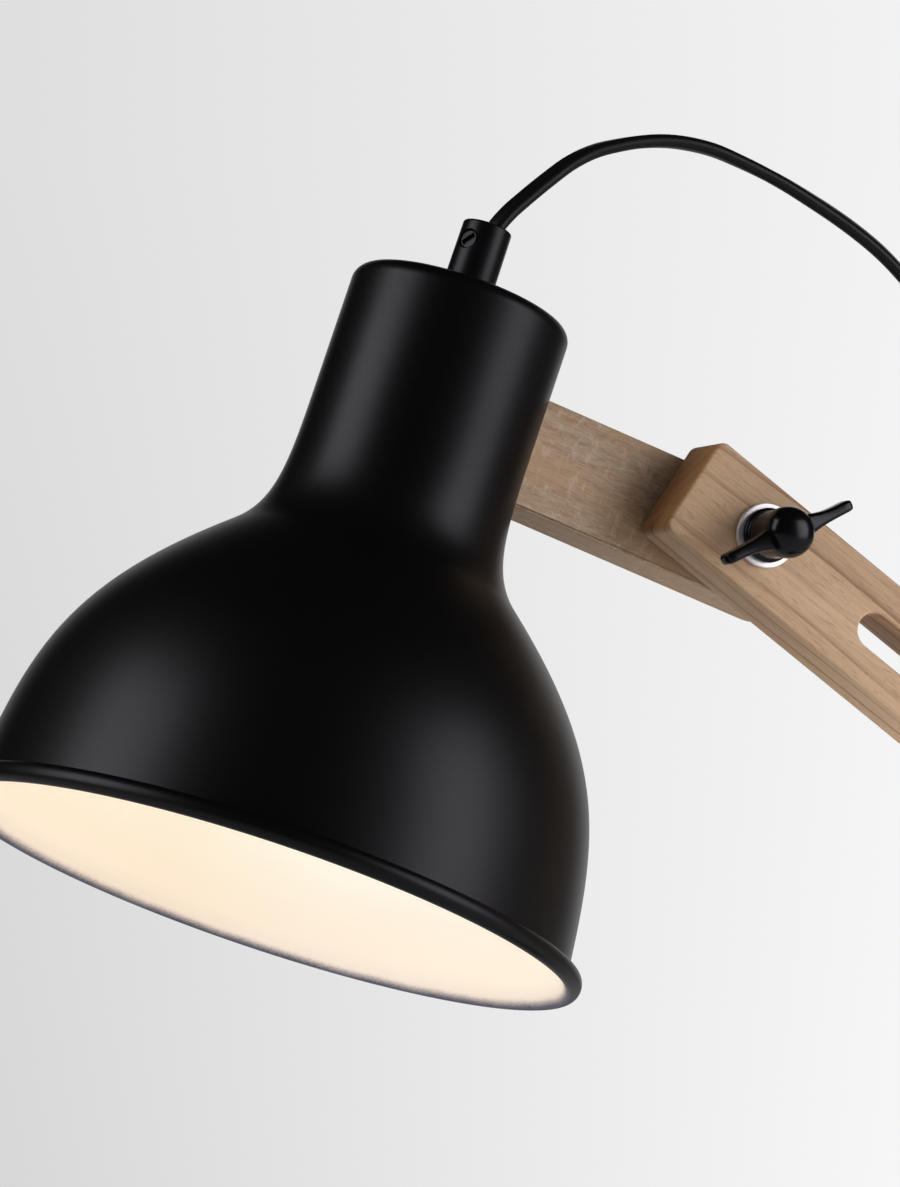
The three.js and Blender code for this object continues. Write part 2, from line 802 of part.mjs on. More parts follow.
const postScrewPlaces = [-postScrewSpacing * halfShare, postScrewSpacing * halfShare];
const screwSeat = baseBottom + fitGap;
const postScrewProfile = [
  [0, screwSeat],
  [postScrewHeadRadius, screwSeat],
  [postScrewRadius, screwSeat + postScrewHeadHeight],
  [postScrewRadius, screwSeat + postScrewLength - postScrewRadius],
  [0, screwSeat + postScrewLength],
];
const screwHoleProfile = [
  [0, baseBottom - cutOverrun],
  [postScrewHeadRadius + fitGap, baseBottom - cutOverrun],
  [postScrewHeadRadius + fitGap, screwSeat],
  [postScrewRadius + fitGap, screwSeat + postScrewHeadHeight + fitGap],
  [postScrewRadius + fitGap, screwSeat + postScrewLength + fitGap],
  [0, screwSeat + postScrewLength + fitGap],
];

function screwHoles() {
  return postScrewPlaces.map((x) => upright(screwHoleProfile, smallSegments).translate(x, 0, 0));
}

const postBody = slab(evenShape(postWidth, postDepth, postEdge), postTop - postFoot, woodEase).translate(0, 0, postFoot);
const postRecess = squareRecess(postDepth * halfShare).translate(0, 0, clampHeight);
const postTools = [
  acrossHole(boltHole, 0, clampHeight, postFront, -postFront),
  postRecess,
  clipPilot(upperClipPlace),
  clipPilot(lowerClipPlace),
  ...screwHoles(),
];
named("post", cut(postBody, ...postTools), pine, lamp);

const baseProfile = [
  [0, baseBottom],
  [baseRadius - baseEdge, baseBottom],
  [baseRadius, baseBottom + baseEdge],
  [baseRadius, baseTop - baseEdge],
  [baseRadius - baseEdge, baseTop],
  [0, baseTop],
];
named("base_plate", cut(upright(baseProfile, fineSegments), ...screwHoles()), blackPaint, lamp);
named("base_pad", upright([[0, 0], [padRadius, 0], [padRadius, padThickness], [0, padThickness]], fineSegments), foam, lamp);
["left", "right"].forEach((which, i) => {
  const screw = upright(postScrewProfile, smallSegments).translate(postScrewPlaces[i], 0, 0);
  named(`post_screw_${which}`, screw, steel, lamp);
});

// Switch

const switchJoint = switchHeight * halfShare;

function switchShell(bottom, top, openBelow) {
  const length = switchLength;
  const body = slab(evenShape(length, switchWidth, switchCorner), top - bottom, switchEase).translate(0, 0, bottom);
  const room = slab(evenShape(
    length - switchWall - switchWall,
    switchWidth - switchWall - switchWall,
    switchCorner - switchWall,
  ), top - bottom - switchWall + cutOverrun).translate(0, 0, openBelow ? bottom - cutOverrun : bottom + switchWall);
  const flat = openBelow
    ? box(-length, -length, bottom - cutOverrun, length, length, switchJoint + fitGap * halfShare)
    : box(-length, -length, switchJoint - fitGap * halfShare, length, length, top + cutOverrun);
  const entry = rod(cordRadius + fitGap, -length, length).rotateZ(quarterTurn).translate(0, 0, switchJoint);
  return cut(body, room, flat, entry);
}

const rockerWindow = box(
  -rockerLength * halfShare - fitGap,
  -rockerWidth * halfShare - fitGap,
  switchJoint,
  rockerLength * halfShare + fitGap,
  rockerWidth * halfShare + fitGap,
  switchHeight + cutOverrun,
);
const lowerShell = switchShell(fitGap, switchHeight, false);
const upperShell = cut(switchShell(fitGap, switchHeight, true), rockerWindow);
named("switch_lower_shell", lowerShell, blackPlastic, lamp).position.set(switchX, switchY, 0);
named("switch_upper_shell", upperShell, blackPlastic, lamp).position.set(switchX, switchY, 0);

// The rocker's pivot is a little below the top face; its two flats meet over it.
const rockerPivot = switchHeight - rockerThickness * halfShare;

function rockerGeometry() {
  const reach = rockerLength * halfShare - fitGap;
  const foot = reach * halfShare;
  const rise = reach * Math.sin(rockerLean);
  const outline = [
    [-foot, -rockerThickness * halfShare],
    [foot, -rockerThickness * halfShare],
    [reach, 0],
    [reach, rockerThickness * halfShare + rockerRise + rise - rockerRise * halfShare],
    [0, rockerThickness * halfShare + rockerRise * halfShare],
    [-reach, rockerThickness * halfShare + rockerRise + rise - rockerRise * halfShare],
    [-reach, 0],
  ];
  return plank(new THREE.Shape(vectors(outline)), rockerWidth, rockerWidth * halfShare, 0);
}

const rocker = named("switch_rocker", rockerGeometry(), blackPlastic, lamp);
rocker.position.set(switchX, switchY, rockerPivot);
rocker.rotation.y = -rockerLean;

// Tapered sleeves where the cord leaves the switch and the plug

function sleeveGeometry() {
  const bore = cordRadius + fitGap;
  return turned([[bore, fitGap], [sleeveFoot, fitGap], [sleeveTip, sleeveLength], [bore, sleeveLength]], smallSegments);
}

const sleeveIn = named("switch_sleeve_in", sleeveGeometry().rotateZ(-quarterTurn), rubberBlack, lamp);
sleeveIn.position.set(switchX + switchLength * halfShare, switchY, switchCordHeight);
const sleeveOut = named("switch_sleeve_out", sleeveGeometry().rotateZ(quarterTurn), rubberBlack, lamp);
sleeveOut.position.set(switchX - switchLength * halfShare, switchY, switchCordHeight);

// Plug with two round pins, lying flat

const plugMiddle = fitGap + plugThickness * halfShare;

function plugShape() {
  const half = plugWidth * halfShare;
  const shape = new THREE.Shape();
  shape.moveTo(0, -half * plugBackShare);
  shape.lineTo(plugLength * plugShoulderShare, -half);
  shape.lineTo(plugLength, -half);
  shape.lineTo(plugLength, half);
  shape.lineTo(plugLength * plugShoulderShare, half);
  shape.lineTo(0, half * plugBackShare);
  return shape;
}

const pinSides = [-pinSpacing * halfShare, pinSpacing * halfShare];
const pinHoles = pinSides.map((y) => (
  rod(pinRadius + fitGap, -plugLength - cutOverrun, -plugLength + pinSeat + fitGap)
    .rotateZ(quarterTurn).translate(0, y, plugThickness * halfShare)
));
const plugBody = cut(slab(plugShape(), plugThickness, plugEase), ...pinHoles);
named("plug_body", plugBody, blackPlastic, lamp).position.set(plugX, plugY, fitGap);
const pinProfile = [
  [0, -plugLength - pinLength],
  [pinRadius * halfShare, -plugLength - pinLength],
  [pinRadius, -plugLength - pinLength + pinRadius],
  [pinRadius, -plugLength + pinSeat],
  [0, -plugLength + pinSeat],
];
["front", "back"].forEach((which, i) => {
  const pin = turned(pinProfile, smallSegments).rotateZ(quarterTurn);
  named(`plug_pin_${which}`, pin, brass, lamp).position.set(plugX, plugY + pinSides[i], plugMiddle);
});
const plugSleeve = named("plug_sleeve", sleeveGeometry().rotateZ(quarterTurn), rubberBlack, lamp);
plugSleeve.position.set(plugX, plugY, plugMiddle);

// Cord: points on its middle line. The head loop is measured from the upper pivot in X and Z.

const headLoop = [
  [-68.7, -6, 84.75], [-64.6, -6, 89.4], [-59.8, -6, 93.5], [-52.6, -6, 99.2], [-45.3, -6, 104.4],
  [-38, -6, 107.9], [-30.6, -6, 109.9], [-23.3, -6, 111.2], [-15.9, -6, 111.7], [-8.6, -6, 111.2],
  [-1.2, -6, 109.8], [6.2, -6, 107.3], [13.65, -6, 104.4], [21.1, -6, 101.1], [28.5, -6, 97.3], [36, -6, 93.2],
  [43.5, -6, 88.6], [51, -6, 83.2], [58, -6.1, 76.7], [65.5, -6.5, 67.8], [72.3, -7.2, 57.6], [78.2, -8.2, 46.2],
  [83, -9.4, 33.5], [86.6, -10.6, 19], [89, -11.6, 3], [90.4, -12.4, -15], [91, -12.9, -33], [91.3, -13.1, -50],
  [91.62, -13.12, -59], [91.86, -13.12, -64.15],
];

// The loops beside the post are measured from the lower clamp in X and Z.
const armLoop = [
  [-58.35, -13.12, 43.5], [-58.15, -13.12, 38.5], [-58.1, -13.05, 28], [-58.2, -12.7, 16], [-58.9, -12.1, 3],
  [-59.9, -11.4, -11], [-60.8, -10.7, -23], [-61.1, -10.2, -32],
];
const postLoop = [
  [-61.1, -10.18, -32.3], [-60.7, -9.4, -44], [-58.4, -8.3, -57], [-53.9, -7, -70], [-47.4, -5.5, -82],
  [-39.4, -4, -93], [-31.4, -2.5, -103], [-24, -1.1, -113.5], [-19.6, -0.3, -121], [-18.05, 0, -126],
  [-17.95, 0, -129.8],
];

const postCordX = postSide - clipCordLift;
const heldCord = [[postCordX, 0, 189.7], [postCordX, 0, 45]];
const leadToSwitch = [
  [postCordX, 0, 44.7], [-18.3, 1, 37], [-20.5, 3.6, 29.5], [-25, 9, 22.4], [-32, 18, 17.8], [-41, 30, 16.4],
  [-51, 45, 16.2], [-60, 60, 16.3], [-66, 72, 16.3], [-69.8, 82, 14.2], [-72.8, 92, 8.8], [-76, 102, 4.2],
  [-80.6, 113, 2.65], [-88, 126, 2.65], [-99, 137, 2.65], [-113, 144, 3.2], [-128, 146, 6.4], [-137, 146, 8.4],
  [-145.6, 146, 9],
];
const leadFromSwitch = [
  [-252.4, 146, 9], [-262, 146.6, 7.4], [-275, 149.6, 3.6], [-289, 156.6, 2.65], [-300, 168, 2.65],
  [-303.5, 182, 2.65], [-298.5, 196, 2.65], [-286, 204.6, 2.65], [-268, 207.6, 2.65], [-240, 208, 2.65],
  [-205, 208, 3], [-170, 208, 3.4], [-135, 208.4, 3.6], [-105, 210.4, 3.6], [-80, 213, 3.6], [-66, 213.65, 3.6],
  [-54.5, 213.6, 3.6],
];
const leadToPlug = [
  [-49.5, 213.6, 3.6], [-38, 213, 3.6], [-25, 210.3, 3.4], [-8, 204.6, 2.9], [8, 198, 3.2], [24, 192.4, 5],
  [34, 190.4, 6.6],
  [43.6, 190, 7.1],
];

function cordGeometry(points, steps) {
  const path = new THREE.CatmullRomCurve3(points.map((point) => new THREE.Vector3(...point)));
  const section = new THREE.Shape(vectors(arcPoints(0, 0, cordRadius, 0, Math.PI + Math.PI, cordSides)).slice(1));
  return solid(new THREE.ExtrudeGeometry(section, { steps, extrudePath: path }));
}

function addCord(name, points, steps, x = 0, z = 0) {
  named(name, cordGeometry(points, steps), rubberBlack, lamp).position.set(x, 0, z);
}

addCord("cord_head_loop", headLoop, 22, pivotX, pivotZ);
addCord("cord_arm_loop", armLoop, 6, 0, clampHeight);
addCord("cord_post_loop", postLoop, 8, 0, clampHeight);
addCord("cord_on_post", heldCord, 1);
addCord("cord_to_switch", leadToSwitch, 16);
addCord("cord_from_switch", leadFromSwitch, 14);
addCord("cord_to_plug", leadToPlug, 5);

// Coil: a ring with an eased section, held by a flat band

const coilBottom = tieThickness + fitGap + fitGap;
const bundleShape = new THREE.Shape();
const bundleHalf = coilBundleWidth * halfShare;
const coilProfile = [
  [coilRadius - bundleHalf + coilBundleEdge, coilBottom],
  [coilRadius + bundleHalf - coilBundleEdge, coilBottom],
  [coilRadius + bundleHalf, coilBottom + coilBundleEdge],
  [coilRadius + bundleHalf, coilBottom + coilBundleHeight - coilBundleEdge],
  [coilRadius + bundleHalf - coilBundleEdge, coilBottom + coilBundleHeight],
  [coilRadius - bundleHalf + coilBundleEdge, coilBottom + coilBundleHeight],
  [coilRadius - bundleHalf, coilBottom + coilBundleHeight - coilBundleEdge],
  [coilRadius - bundleHalf, coilBottom + coilBundleEdge],
];
named("cord_coil", upright(coilProfile, fineSegments), rubberBlack, lamp).position.set(coilX, coilY, 0);

function tieGeometry() {
  const insideWidth = coilBundleWidth + curvedSeatGap + curvedSeatGap;
  const insideHeight = coilBundleHeight + fitGap + fitGap;
  const outside = evenShape(
    insideWidth + tieThickness + tieThickness,
    insideHeight + tieThickness + tieThickness,
    coilBundleEdge + tieThickness,
  );
  const inside = evenShape(insideWidth, insideHeight, coilBundleEdge * halfShare);
  const band = slab(outside, tieLength);
  const room = slab(inside, tieLength + cutOverrun + cutOverrun).translate(0, 0, -cutOverrun);
  const middle = coilBottom + coilBundleHeight * halfShare;
  return cut(band, room).translate(0, 0, -tieLength * halfShare).rotateX(quarterTurn).translate(0, 0, middle);
}

named("cord_tie", tieGeometry(), rubberBlack, lamp).position.set(coilX + coilRadius, coilY, 0);

export default lamp;
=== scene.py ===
# %% [markdown]
# # A bell-shaded table lamp on wooden arms
# The lamp stands on a round black base. A wooden post carries a slotted wooden arm, the arm carries a short
# wooden head arm, and that one carries a spun metal shade. Two bolts with black wing nuts hold the joints.
# The solids come ready made from the CAD model, in metres, with Z up. This script gives every one of them its
# looks: finer meshes where a curve would show its flats, and a material that is built from nodes.

# %% Load the solids
import math

import bmesh
import bpy
from mathutils import Matrix, Vector


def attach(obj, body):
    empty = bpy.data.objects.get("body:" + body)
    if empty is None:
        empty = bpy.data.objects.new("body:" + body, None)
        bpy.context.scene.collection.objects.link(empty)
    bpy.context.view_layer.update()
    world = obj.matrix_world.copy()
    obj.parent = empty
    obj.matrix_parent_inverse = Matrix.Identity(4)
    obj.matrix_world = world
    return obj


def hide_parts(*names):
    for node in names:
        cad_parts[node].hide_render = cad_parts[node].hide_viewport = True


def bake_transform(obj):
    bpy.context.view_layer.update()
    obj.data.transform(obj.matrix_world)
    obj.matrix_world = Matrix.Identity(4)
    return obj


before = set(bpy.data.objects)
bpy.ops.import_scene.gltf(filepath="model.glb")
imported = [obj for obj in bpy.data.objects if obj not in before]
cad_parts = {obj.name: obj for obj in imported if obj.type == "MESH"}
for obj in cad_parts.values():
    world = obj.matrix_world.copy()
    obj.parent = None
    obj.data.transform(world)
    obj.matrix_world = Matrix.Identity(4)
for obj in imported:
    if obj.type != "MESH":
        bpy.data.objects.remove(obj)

mm = 0.001
degree = math.pi / 180
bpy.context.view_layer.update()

# %% [markdown]
# ## Places
# Almost everything hangs on two bolts. The lower one goes through the post, the upper one through the head arm,
# and both lie along Y. A matrix for each leaning part lets its pieces be drawn upright and then set in place.
# Sizes are written in millimetres and degrees, and the helpers turn them into Blender's metres and radians.


# %% The clamps and the leaning frames
def moved(x, y, z):
    """A move by millimetres."""
    return Matrix.Translation((x * mm, y * mm, z * mm))


def spun(angle, axis):
    """A turn by degrees."""
    return Matrix.Rotation(angle * degree, 4, axis)


clamp = Vector((0, 0, 320 * mm))
clamp_along, slot_rise = 185, -0.92
arm_lean, head_lean = 35.42, 20
upper_pivot = clamp - spun(arm_lean, "Y") @ Vector((clamp_along * mm, 0, slot_rise * mm))
arm_place = Matrix.Translation(upper_pivot) @ spun(arm_lean, "Y")
head_place = Matrix.Translation(upper_pivot) @ spun(head_lean, "Y")
shade_reach, shade_y, neck_top = 95.6, -6, 34.6
shade_place = head_place @ moved(-shade_reach, shade_y, neck_top)
print("upper bolt at", tuple(round(x, 5) for x in upper_pivot))

# %% [markdown]
# ## Camera
# The photograph is a close view with a long lens, from a little below the head and to its left. A camera that
# is matched keeps its place, its aim, a small roll and its lens as plain values.

# %% Set the camera
camera_roll = -0.0794
camera_data = bpy.data.cameras.new("close_view")
camera_data.sensor_width = 36
camera_data.lens = 267.795
camera_data.clip_end = 50
camera = bpy.data.objects.new("close_view", camera_data)
camera.location = (-1.2312, -2.20897, 0.24935)
view_direction = Vector((0.411922, 0.908757, 0.066938))
level_turn = view_direction.to_track_quat("-Z", "Y").to_matrix()
camera.rotation_euler = (level_turn @ Matrix.Rotation(camera_roll * degree, 3, "Z")).to_euler()
bpy.context.scene.collection.objects.link(camera)
bpy.context.scene.camera = camera
bpy.context.scene.view_settings.view_transform = "Standard"
print("camera looks along", tuple(round(x, 3) for x in view_direction))

# %% [markdown]
# ## Nodes
# Materials, the world and the mesh tools below are all graphs of nodes. One small class adds a node at a time,
# so that the recipes read like recipes: where the pattern comes from, what it is, and what it changes.


# %% Helper for graphs
class Graph:
    """A tree of nodes. An input gets a plain value, or the output that feeds it."""

    def __init__(self, tree):
        self.tree = tree

    def feed(self, node, socket, value):
        entry = node.inputs[socket]
        if hasattr(value, "is_linked"):
            self.tree.links.new(value, entry)
        else:
            entry.default_value = (*value, 1) if entry.type == "RGBA" else value

    def add(self, kind, feeds=None, **settings):
        node = self.tree.nodes.new(kind)
        for name, value in settings.items():
            setattr(node, name, value)
        for socket, value in (feeds or {}).items():
            self.feed(node, socket, value)
        return node

    def calc(self, operation, first, second=0.0):
        return self.add("ShaderNodeMath", {0: first, 1: second}, operation=operation).outputs["Value"]

    def span(self, value, low, high, from_low=0.0, from_high=1.0, smooth=False):
        """Runs from low to high while the value runs across its own span."""
        feeds = {"Value": value, "From Min": from_low, "From Max": from_high, "To Min": low, "To Max": high}
        kind = "SMOOTHSTEP" if smooth else "LINEAR"
        return self.add("ShaderNodeMapRange", feeds, interpolation_type=kind).outputs["Result"]

    def noise(self, vector, scale, detail=2.0, rough=0.5):
        feeds = {"Vector": vector, "Scale": scale, "Detail": detail, "Roughness": rough}
        return self.add("ShaderNodeTexNoise", feeds).outputs["Fac"]

    def mix(self, factor, first, second, blend="MIX"):
        """A colour between two others."""
        feeds = {0: factor, 6: first, 7: second}
        return self.add("ShaderNodeMix", feeds, data_type="RGBA", blend_type=blend).outputs[2]

    def mapped(self, vector, **feeds):
        return self.add("ShaderNodeMapping", {"Vector": vector, **feeds}).outputs["Vector"]

    def parts(self, vector):
        return self.add("ShaderNodeSeparateXYZ", {"Vector": vector}).outputs


class Finish(Graph):
    """A material with one Principled shader, whose plain values sit on its own sockets."""

    def __init__(self, name, base, roughness, metallic=0.0, **sockets):
        self.material = bpy.data.materials.new(name)
        self.material.use_nodes = True
        super().__init__(self.material.node_tree)
        self.shader = self.tree.nodes["Principled BSDF"]
        for socket, value in {"Base_Color": base, "Roughness": roughness, "Metallic": metallic, **sockets}.items():
            self.set(socket.replace("_", " "), value)

    def set(self, socket, value):
        self.feed(self.shader, socket, value)

    def own(self, output="Object"):
        """The piece's own coordinates, or its normals."""
        return self.add("ShaderNodeTexCoord").outputs[output]

    def emboss(self, height, strength, depth):
        """A bump of that depth in millimetres."""
        feeds = {"Height": height, "Strength": strength, "Distance": depth * mm}
        self.set("Normal", self.add("ShaderNodeBump", feeds).outputs["Normal"])


print("graph helpers ready")

# %% [markdown]
# ## Black paint and black plastic
# The shade and the base carry a satin powder coat: nearly black, with a faint orange-peel skin that softens
# what it mirrors. The wing nuts and the cable grip are smoother and glossier, the switch and the plug have the
# fine spark texture of a mould. They differ only in shine and roughness and in the size and depth of the grain.


# %% Make the black finishes
def black_finish(name, base, roughness, grain_size, grain_depth, spread=0.05, shine=0.5):
    black = Finish(name, base, roughness, Specular_IOR_Level=shine, Specular_Tint=(0.93, 0.91, 1.0))
    place = black.own()
    haze = black.noise(place, 18.0, 3.0)
    black.set("Roughness", black.span(haze, roughness - spread, roughness + spread, 0.3, 0.7))
    black.emboss(black.noise(place, 1 / (grain_size * mm), 3.0), 0.35, grain_depth)
    return black.material


satin_paint = black_finish("satin black paint", (0.0014, 0.0012, 0.0012), 0.38, 0.9, 0.010, 0.02, 0.18)
nut_black = black_finish("smooth black nut", (0.0018, 0.0018, 0.0020), 0.24, 2.5, 0.010, 0.04, 0.2)
grip_black = black_finish("cable grip black", (0.0020, 0.0020, 0.0021), 0.34, 0.5, 0.012, 0.04, 0.16)
moulded_black = black_finish("moulded black plastic", (0.009, 0.009, 0.0095), 0.46, 0.35, 0.03, 0.05, 0.35)
foam_black = black_finish("foam pad", (0.02, 0.02, 0.021), 0.9, 0.7, 0.25)
print("black finishes:", [m.name for m in (satin_paint, nut_black, grip_black, moulded_black, foam_black)])

# %% [markdown]
# ## Cord sheath
# The lead is a flat two-core cord in black PVC. The sheath is drawn through a die, so its faint lines run
# lengthwise. A UV map along the cord lets the lines follow every bend.

# %% Make the sheath finish
sheath = Finish("black cord sheath", (0.0030, 0.0030, 0.0032), 0.36, Specular_IOR_Level=0.17)
cord_map = sheath.add("ShaderNodeUVMap", uv_map="along_cord").outputs["UV"]
die_lines = sheath.noise(sheath.mapped(cord_map, Scale=(30, 25, 1)), 1.0, 3.0)
sheath.set("Roughness", sheath.span(die_lines, 0.33, 0.39, 0.3, 0.7))
sheath.emboss(die_lines, 0.15, 0.005)
print("sheath finish:", sheath.material.name)

# %% [markdown]
# ## The cord's section
# A flat cord can be swept along its route in code. Each ring of points faces along the route, and a
# second direction says which way the wide side lies, so the cord can lie flat here and stand on edge there, as
# it does on the real lamp. The route's corners are rounded by a Catmull-Rom curve through a few points.

# %% Helpers for routes
cord_width, cord_thickness = 5.6 * mm, 3.7 * mm


def smooth_route(points, spacing):
    """Even points on the centripetal Catmull-Rom curve through the given ones. Extra columns are carried along."""
    rows = [[float(x) for x in point] for point in points]
    head = [2 * a - b for a, b in zip(rows[0], rows[1])]
    tail = [2 * a - b for a, b in zip(rows[-1], rows[-2])]
    rows = [head, *rows, tail]
    dense = []
    for four in zip(rows, rows[1:], rows[2:], rows[3:]):
        knots = [0.0]
        for a, b in zip(four, four[1:]):
            knots.append(knots[-1] + max(math.dist(a[:3], b[:3]), 1e-9) ** 0.5)
        for k in range(24):
            dense.append(pyramid(four, knots, knots[1] + (knots[2] - knots[1]) * k / 24))
    dense.append(rows[-2])
    return evenly_spaced(dense, spacing)


def pyramid(four, knots, t):
    """The curve's point at t: neighbours are mixed in three rounds, until one is left."""
    level = list(four)
    for spans in (((0, 1), (1, 2), (2, 3)), ((0, 2), (1, 3)), ((1, 2),)):
        parts = [(t - knots[i]) / (knots[j] - knots[i]) for i, j in spans]
        level = [[x + (y - x) * part for x, y in zip(a, b)] for a, b, part in zip(level, level[1:], parts)]
    return level[0]


def evenly_spaced(rows, spacing):
    lengths = [0.0]
    for a, b in zip(rows, rows[1:]):
        lengths.append(lengths[-1] + math.dist(a[:3], b[:3]))
    count = max(2, round(lengths[-1] / spacing))
    even, i = [], 0
    for k in range(count + 1):
        wanted = lengths[-1] * k / count
        while i < len(rows) - 2 and lengths[i + 1] < wanted:
            i += 1
        part = (wanted - lengths[i]) / max(lengths[i + 1] - lengths[i], 1e-12)
        even.append([a + (b - a) * min(max(part, 0), 1) for a, b in zip(rows[i], rows[i + 1])])
    return even


def route_length(rows):
    return sum(math.dist(a[:3], b[:3]) for a, b in zip(rows, rows[1:]))


def wide_side(points, origin, level):
    """Rows in metres with the wide side's direction: level is the direction at no twist, given the way along."""
    rows = []
    for i, p in enumerate(points):
        way = (Vector(points[min(i + 1, len(points) - 1)][:3]) - Vector(points[max(i - 1, 0)][:3])).normalized()
        side = level(way)
        side = (side - way * side.dot(way)).normalized()
        wide = side * math.cos(p[3] * degree) + way.cross(side) * math.sin(p[3] * degree)
        rows.append([*(Vector(p[:3]) * mm + Vector(origin)), *wide])
    return rows


print("cord section:", cord_width, "x", cord_thickness)

# %% [markdown]
# ## From points to pieces
# Every piece below ends as a plain mesh with smooth shading and marked sharp edges. A skin joins rings of points,
# and the faces of each closed mesh are turned outwards, because they show and export wrongly otherwise.


# %% Helpers for pieces
def placed(name, data):
    piece = bpy.data.objects.new(name, data)
    bpy.context.scene.collection.objects.link(piece)
    return piece


def new_piece(name, mesh, material, sharp=None):
    for polygon in mesh.polygons:
        polygon.use_smooth = True
    if sharp is not None:
        mesh.set_sharp_from_angle(angle=sharp * degree)
    if material is not None:
        mesh.materials.clear()
        mesh.materials.append(material)
    return placed(name, mesh)


def faced_outwards(mesh, merge=0.0):
    """Merges doubles if asked and turns every face of a closed mesh outwards."""
    body = bmesh.new()
    body.from_mesh(mesh)
    if merge:
        bmesh.ops.remove_doubles(body, verts=body.verts, dist=merge)
        bmesh.ops.dissolve_degenerate(body, edges=body.edges, dist=merge)
    bmesh.ops.recalc_face_normals(body, faces=body.faces)
    if body.calc_volume(signed=True) < 0:
        bmesh.ops.reverse_faces(body, faces=body.faces)
    body.to_mesh(mesh)
    body.free()
    return mesh


def skinned(name, rings, material, sharp=50, along=None, looped=False):
    """A skin over rings of points, closed by its ends or on itself. along is each ring's place for the UV map."""
    sides, last = len(rings[0]), (len(rings) - 1) * len(rings[0])
    faces, uvs = [], []
    for i in range(0 if looped else 1, len(rings)):
        for k in range(sides):
            nxt, low, high = (k + 1) % sides, (i - 1) % len(rings) * sides, i * sides
            faces.append((low + k, low + nxt, high + nxt, high + k))
            if along:
                a, b = along[i - 1], along[i]
                uvs.extend([(k / sides, a), ((k + 1) / sides, a), ((k + 1) / sides, b), (k / sides, b)])
    if not looped:
        faces += [tuple(reversed(range(sides))), tuple(last + k for k in range(sides))]
    mesh = bpy.data.meshes.new(name)
    mesh.from_pydata([point for ring in rings for point in ring], [], faces)
    if along:
        layer = mesh.uv_layers.new(name="along_cord")
        for loop, uv in enumerate(uvs + [(0, 0)] * (2 * sides)):
            layer.data[loop].uv = uv
    return new_piece(name, faced_outwards(mesh), material, sharp)


def swept_cord(name, rows, sides=20):
    """A closed flat-oval tube. Each row is a point and the direction of the cord's wide side."""
    points = [Vector(row[:3]) for row in rows]
    radius, half_flat = cord_thickness / 2, (cord_width - cord_thickness) / 2
    angles = [2 * math.pi * (k + 0.5) / sides for k in range(sides)]
    rings, along = [], [0.0]
    for i, (point, row) in enumerate(zip(points, rows)):
        way = (points[min(i + 1, len(points) - 1)] - points[max(i - 1, 0)]).normalized()
        wide = Vector(row[3:6])
        wide = (wide - way * wide.dot(way)).normalized()
        thin = way.cross(wide)
        across = [math.cos(a) * radius + math.copysign(half_flat, math.cos(a)) for a in angles]
        rings.append([point + wide * x + thin * (math.sin(a) * radius) for x, a in zip(across, angles)])
        if i:
            along.append(along[-1] + (point - points[i - 1]).length)
    return skinned(name, rings, sheath.material, 50, along)


def stands_for(piece, body, slot, *nodes):
    """The piece moves with its body and stands for the plainer solids."""
    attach(piece, body)
    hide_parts(*nodes)
    return piece


def hung_cord(name, rows, held, node):
    """A free length of cord, baked in its place, which stands for the plainer solid. held is not used."""
    cord = swept_cord(name, rows)
    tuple(rows[held[0]][:3])
    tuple(rows[-held[1]][:3])
    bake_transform(cord)
    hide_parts(node)
    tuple(rows[0][:3])
    route_length(rows)
    print(name, round(route_length(rows), 4), "m")


def across_arms(way):
    """Whatever way the cord runs, its wide side lies along the bolts."""
    return Vector((0, 1, 0))


print("piece helpers ready")

# %% [markdown]
# ## The cord over the head
# The cord leaves the cable grip, rises in one arc over the head arm and comes down to a clip behind the slotted
# arm. Bending is easiest across its thin side, so the wide side stays nearly level and twists a little
# at both ends. It has to follow the head when the head tilts. A row holds
# a point from the upper bolt and the twist of the wide side.

# %% Make the cord over the head
head_route = [
    [-70.9, -6, 78.6, 26], [-69.8, -6, 81.8, 26], [-68.7, -6, 84.75, 26], [-64.6, -6, 89.4, 26],
    [-59.8, -6, 93.5, 25], [-52.6, -6, 99.2, 22], [-45.3, -6, 104.4, 18], [-38, -6, 107.9, 12],
    [-30.6, -6, 109.9, 6], [-23.3, -6, 111.2, 2], [-15.9, -6, 111.7, 0], [-8.6, -6, 111.2, 0],
    [-1.2, -6, 109.8, 4], [6.2, -6, 107.3, 10], [13.65, -6, 104.4, 16], [21.1, -6, 101.1, 22],
    [28.5, -6, 97.3, 28], [36, -6, 93.2, 32], [43.5, -6, 88.6, 34], [51, -6, 83.2, 34], [58, -6.1, 76.7, 30],
    [65.5, -6.5, 67.8, 18], [72.3, -7.2, 57.6, 2], [78.2, -8.2, 46.2, -16], [83, -9.4, 33.5, -34],
    [86.6, -10.6, 19, -52], [89, -11.6, 3, -68], [90.4, -12.4, -15, -80], [91, -12.9, -33, -88],
    [91.3, -13.1, -50, -90], [91.62, -13.12, -59, -90], [91.86, -13.12, -64.15, -90],
]
head_rows = smooth_route(wide_side(head_route, upper_pivot, across_arms), 2 * mm)
hung_cord("cord_over_head", head_rows, (6, 8), "cord_head_loop")

# %% [markdown]
# ## The cord beside the post
# Below the clip the cord hangs in a slack loop and comes back to the post, so that the arm can swing and slide.
# It crosses two joints, and a piece can bend over one of them only, so it is made in two lengths that meet end
# to end. From the upper post clip down it is held straight against the post.

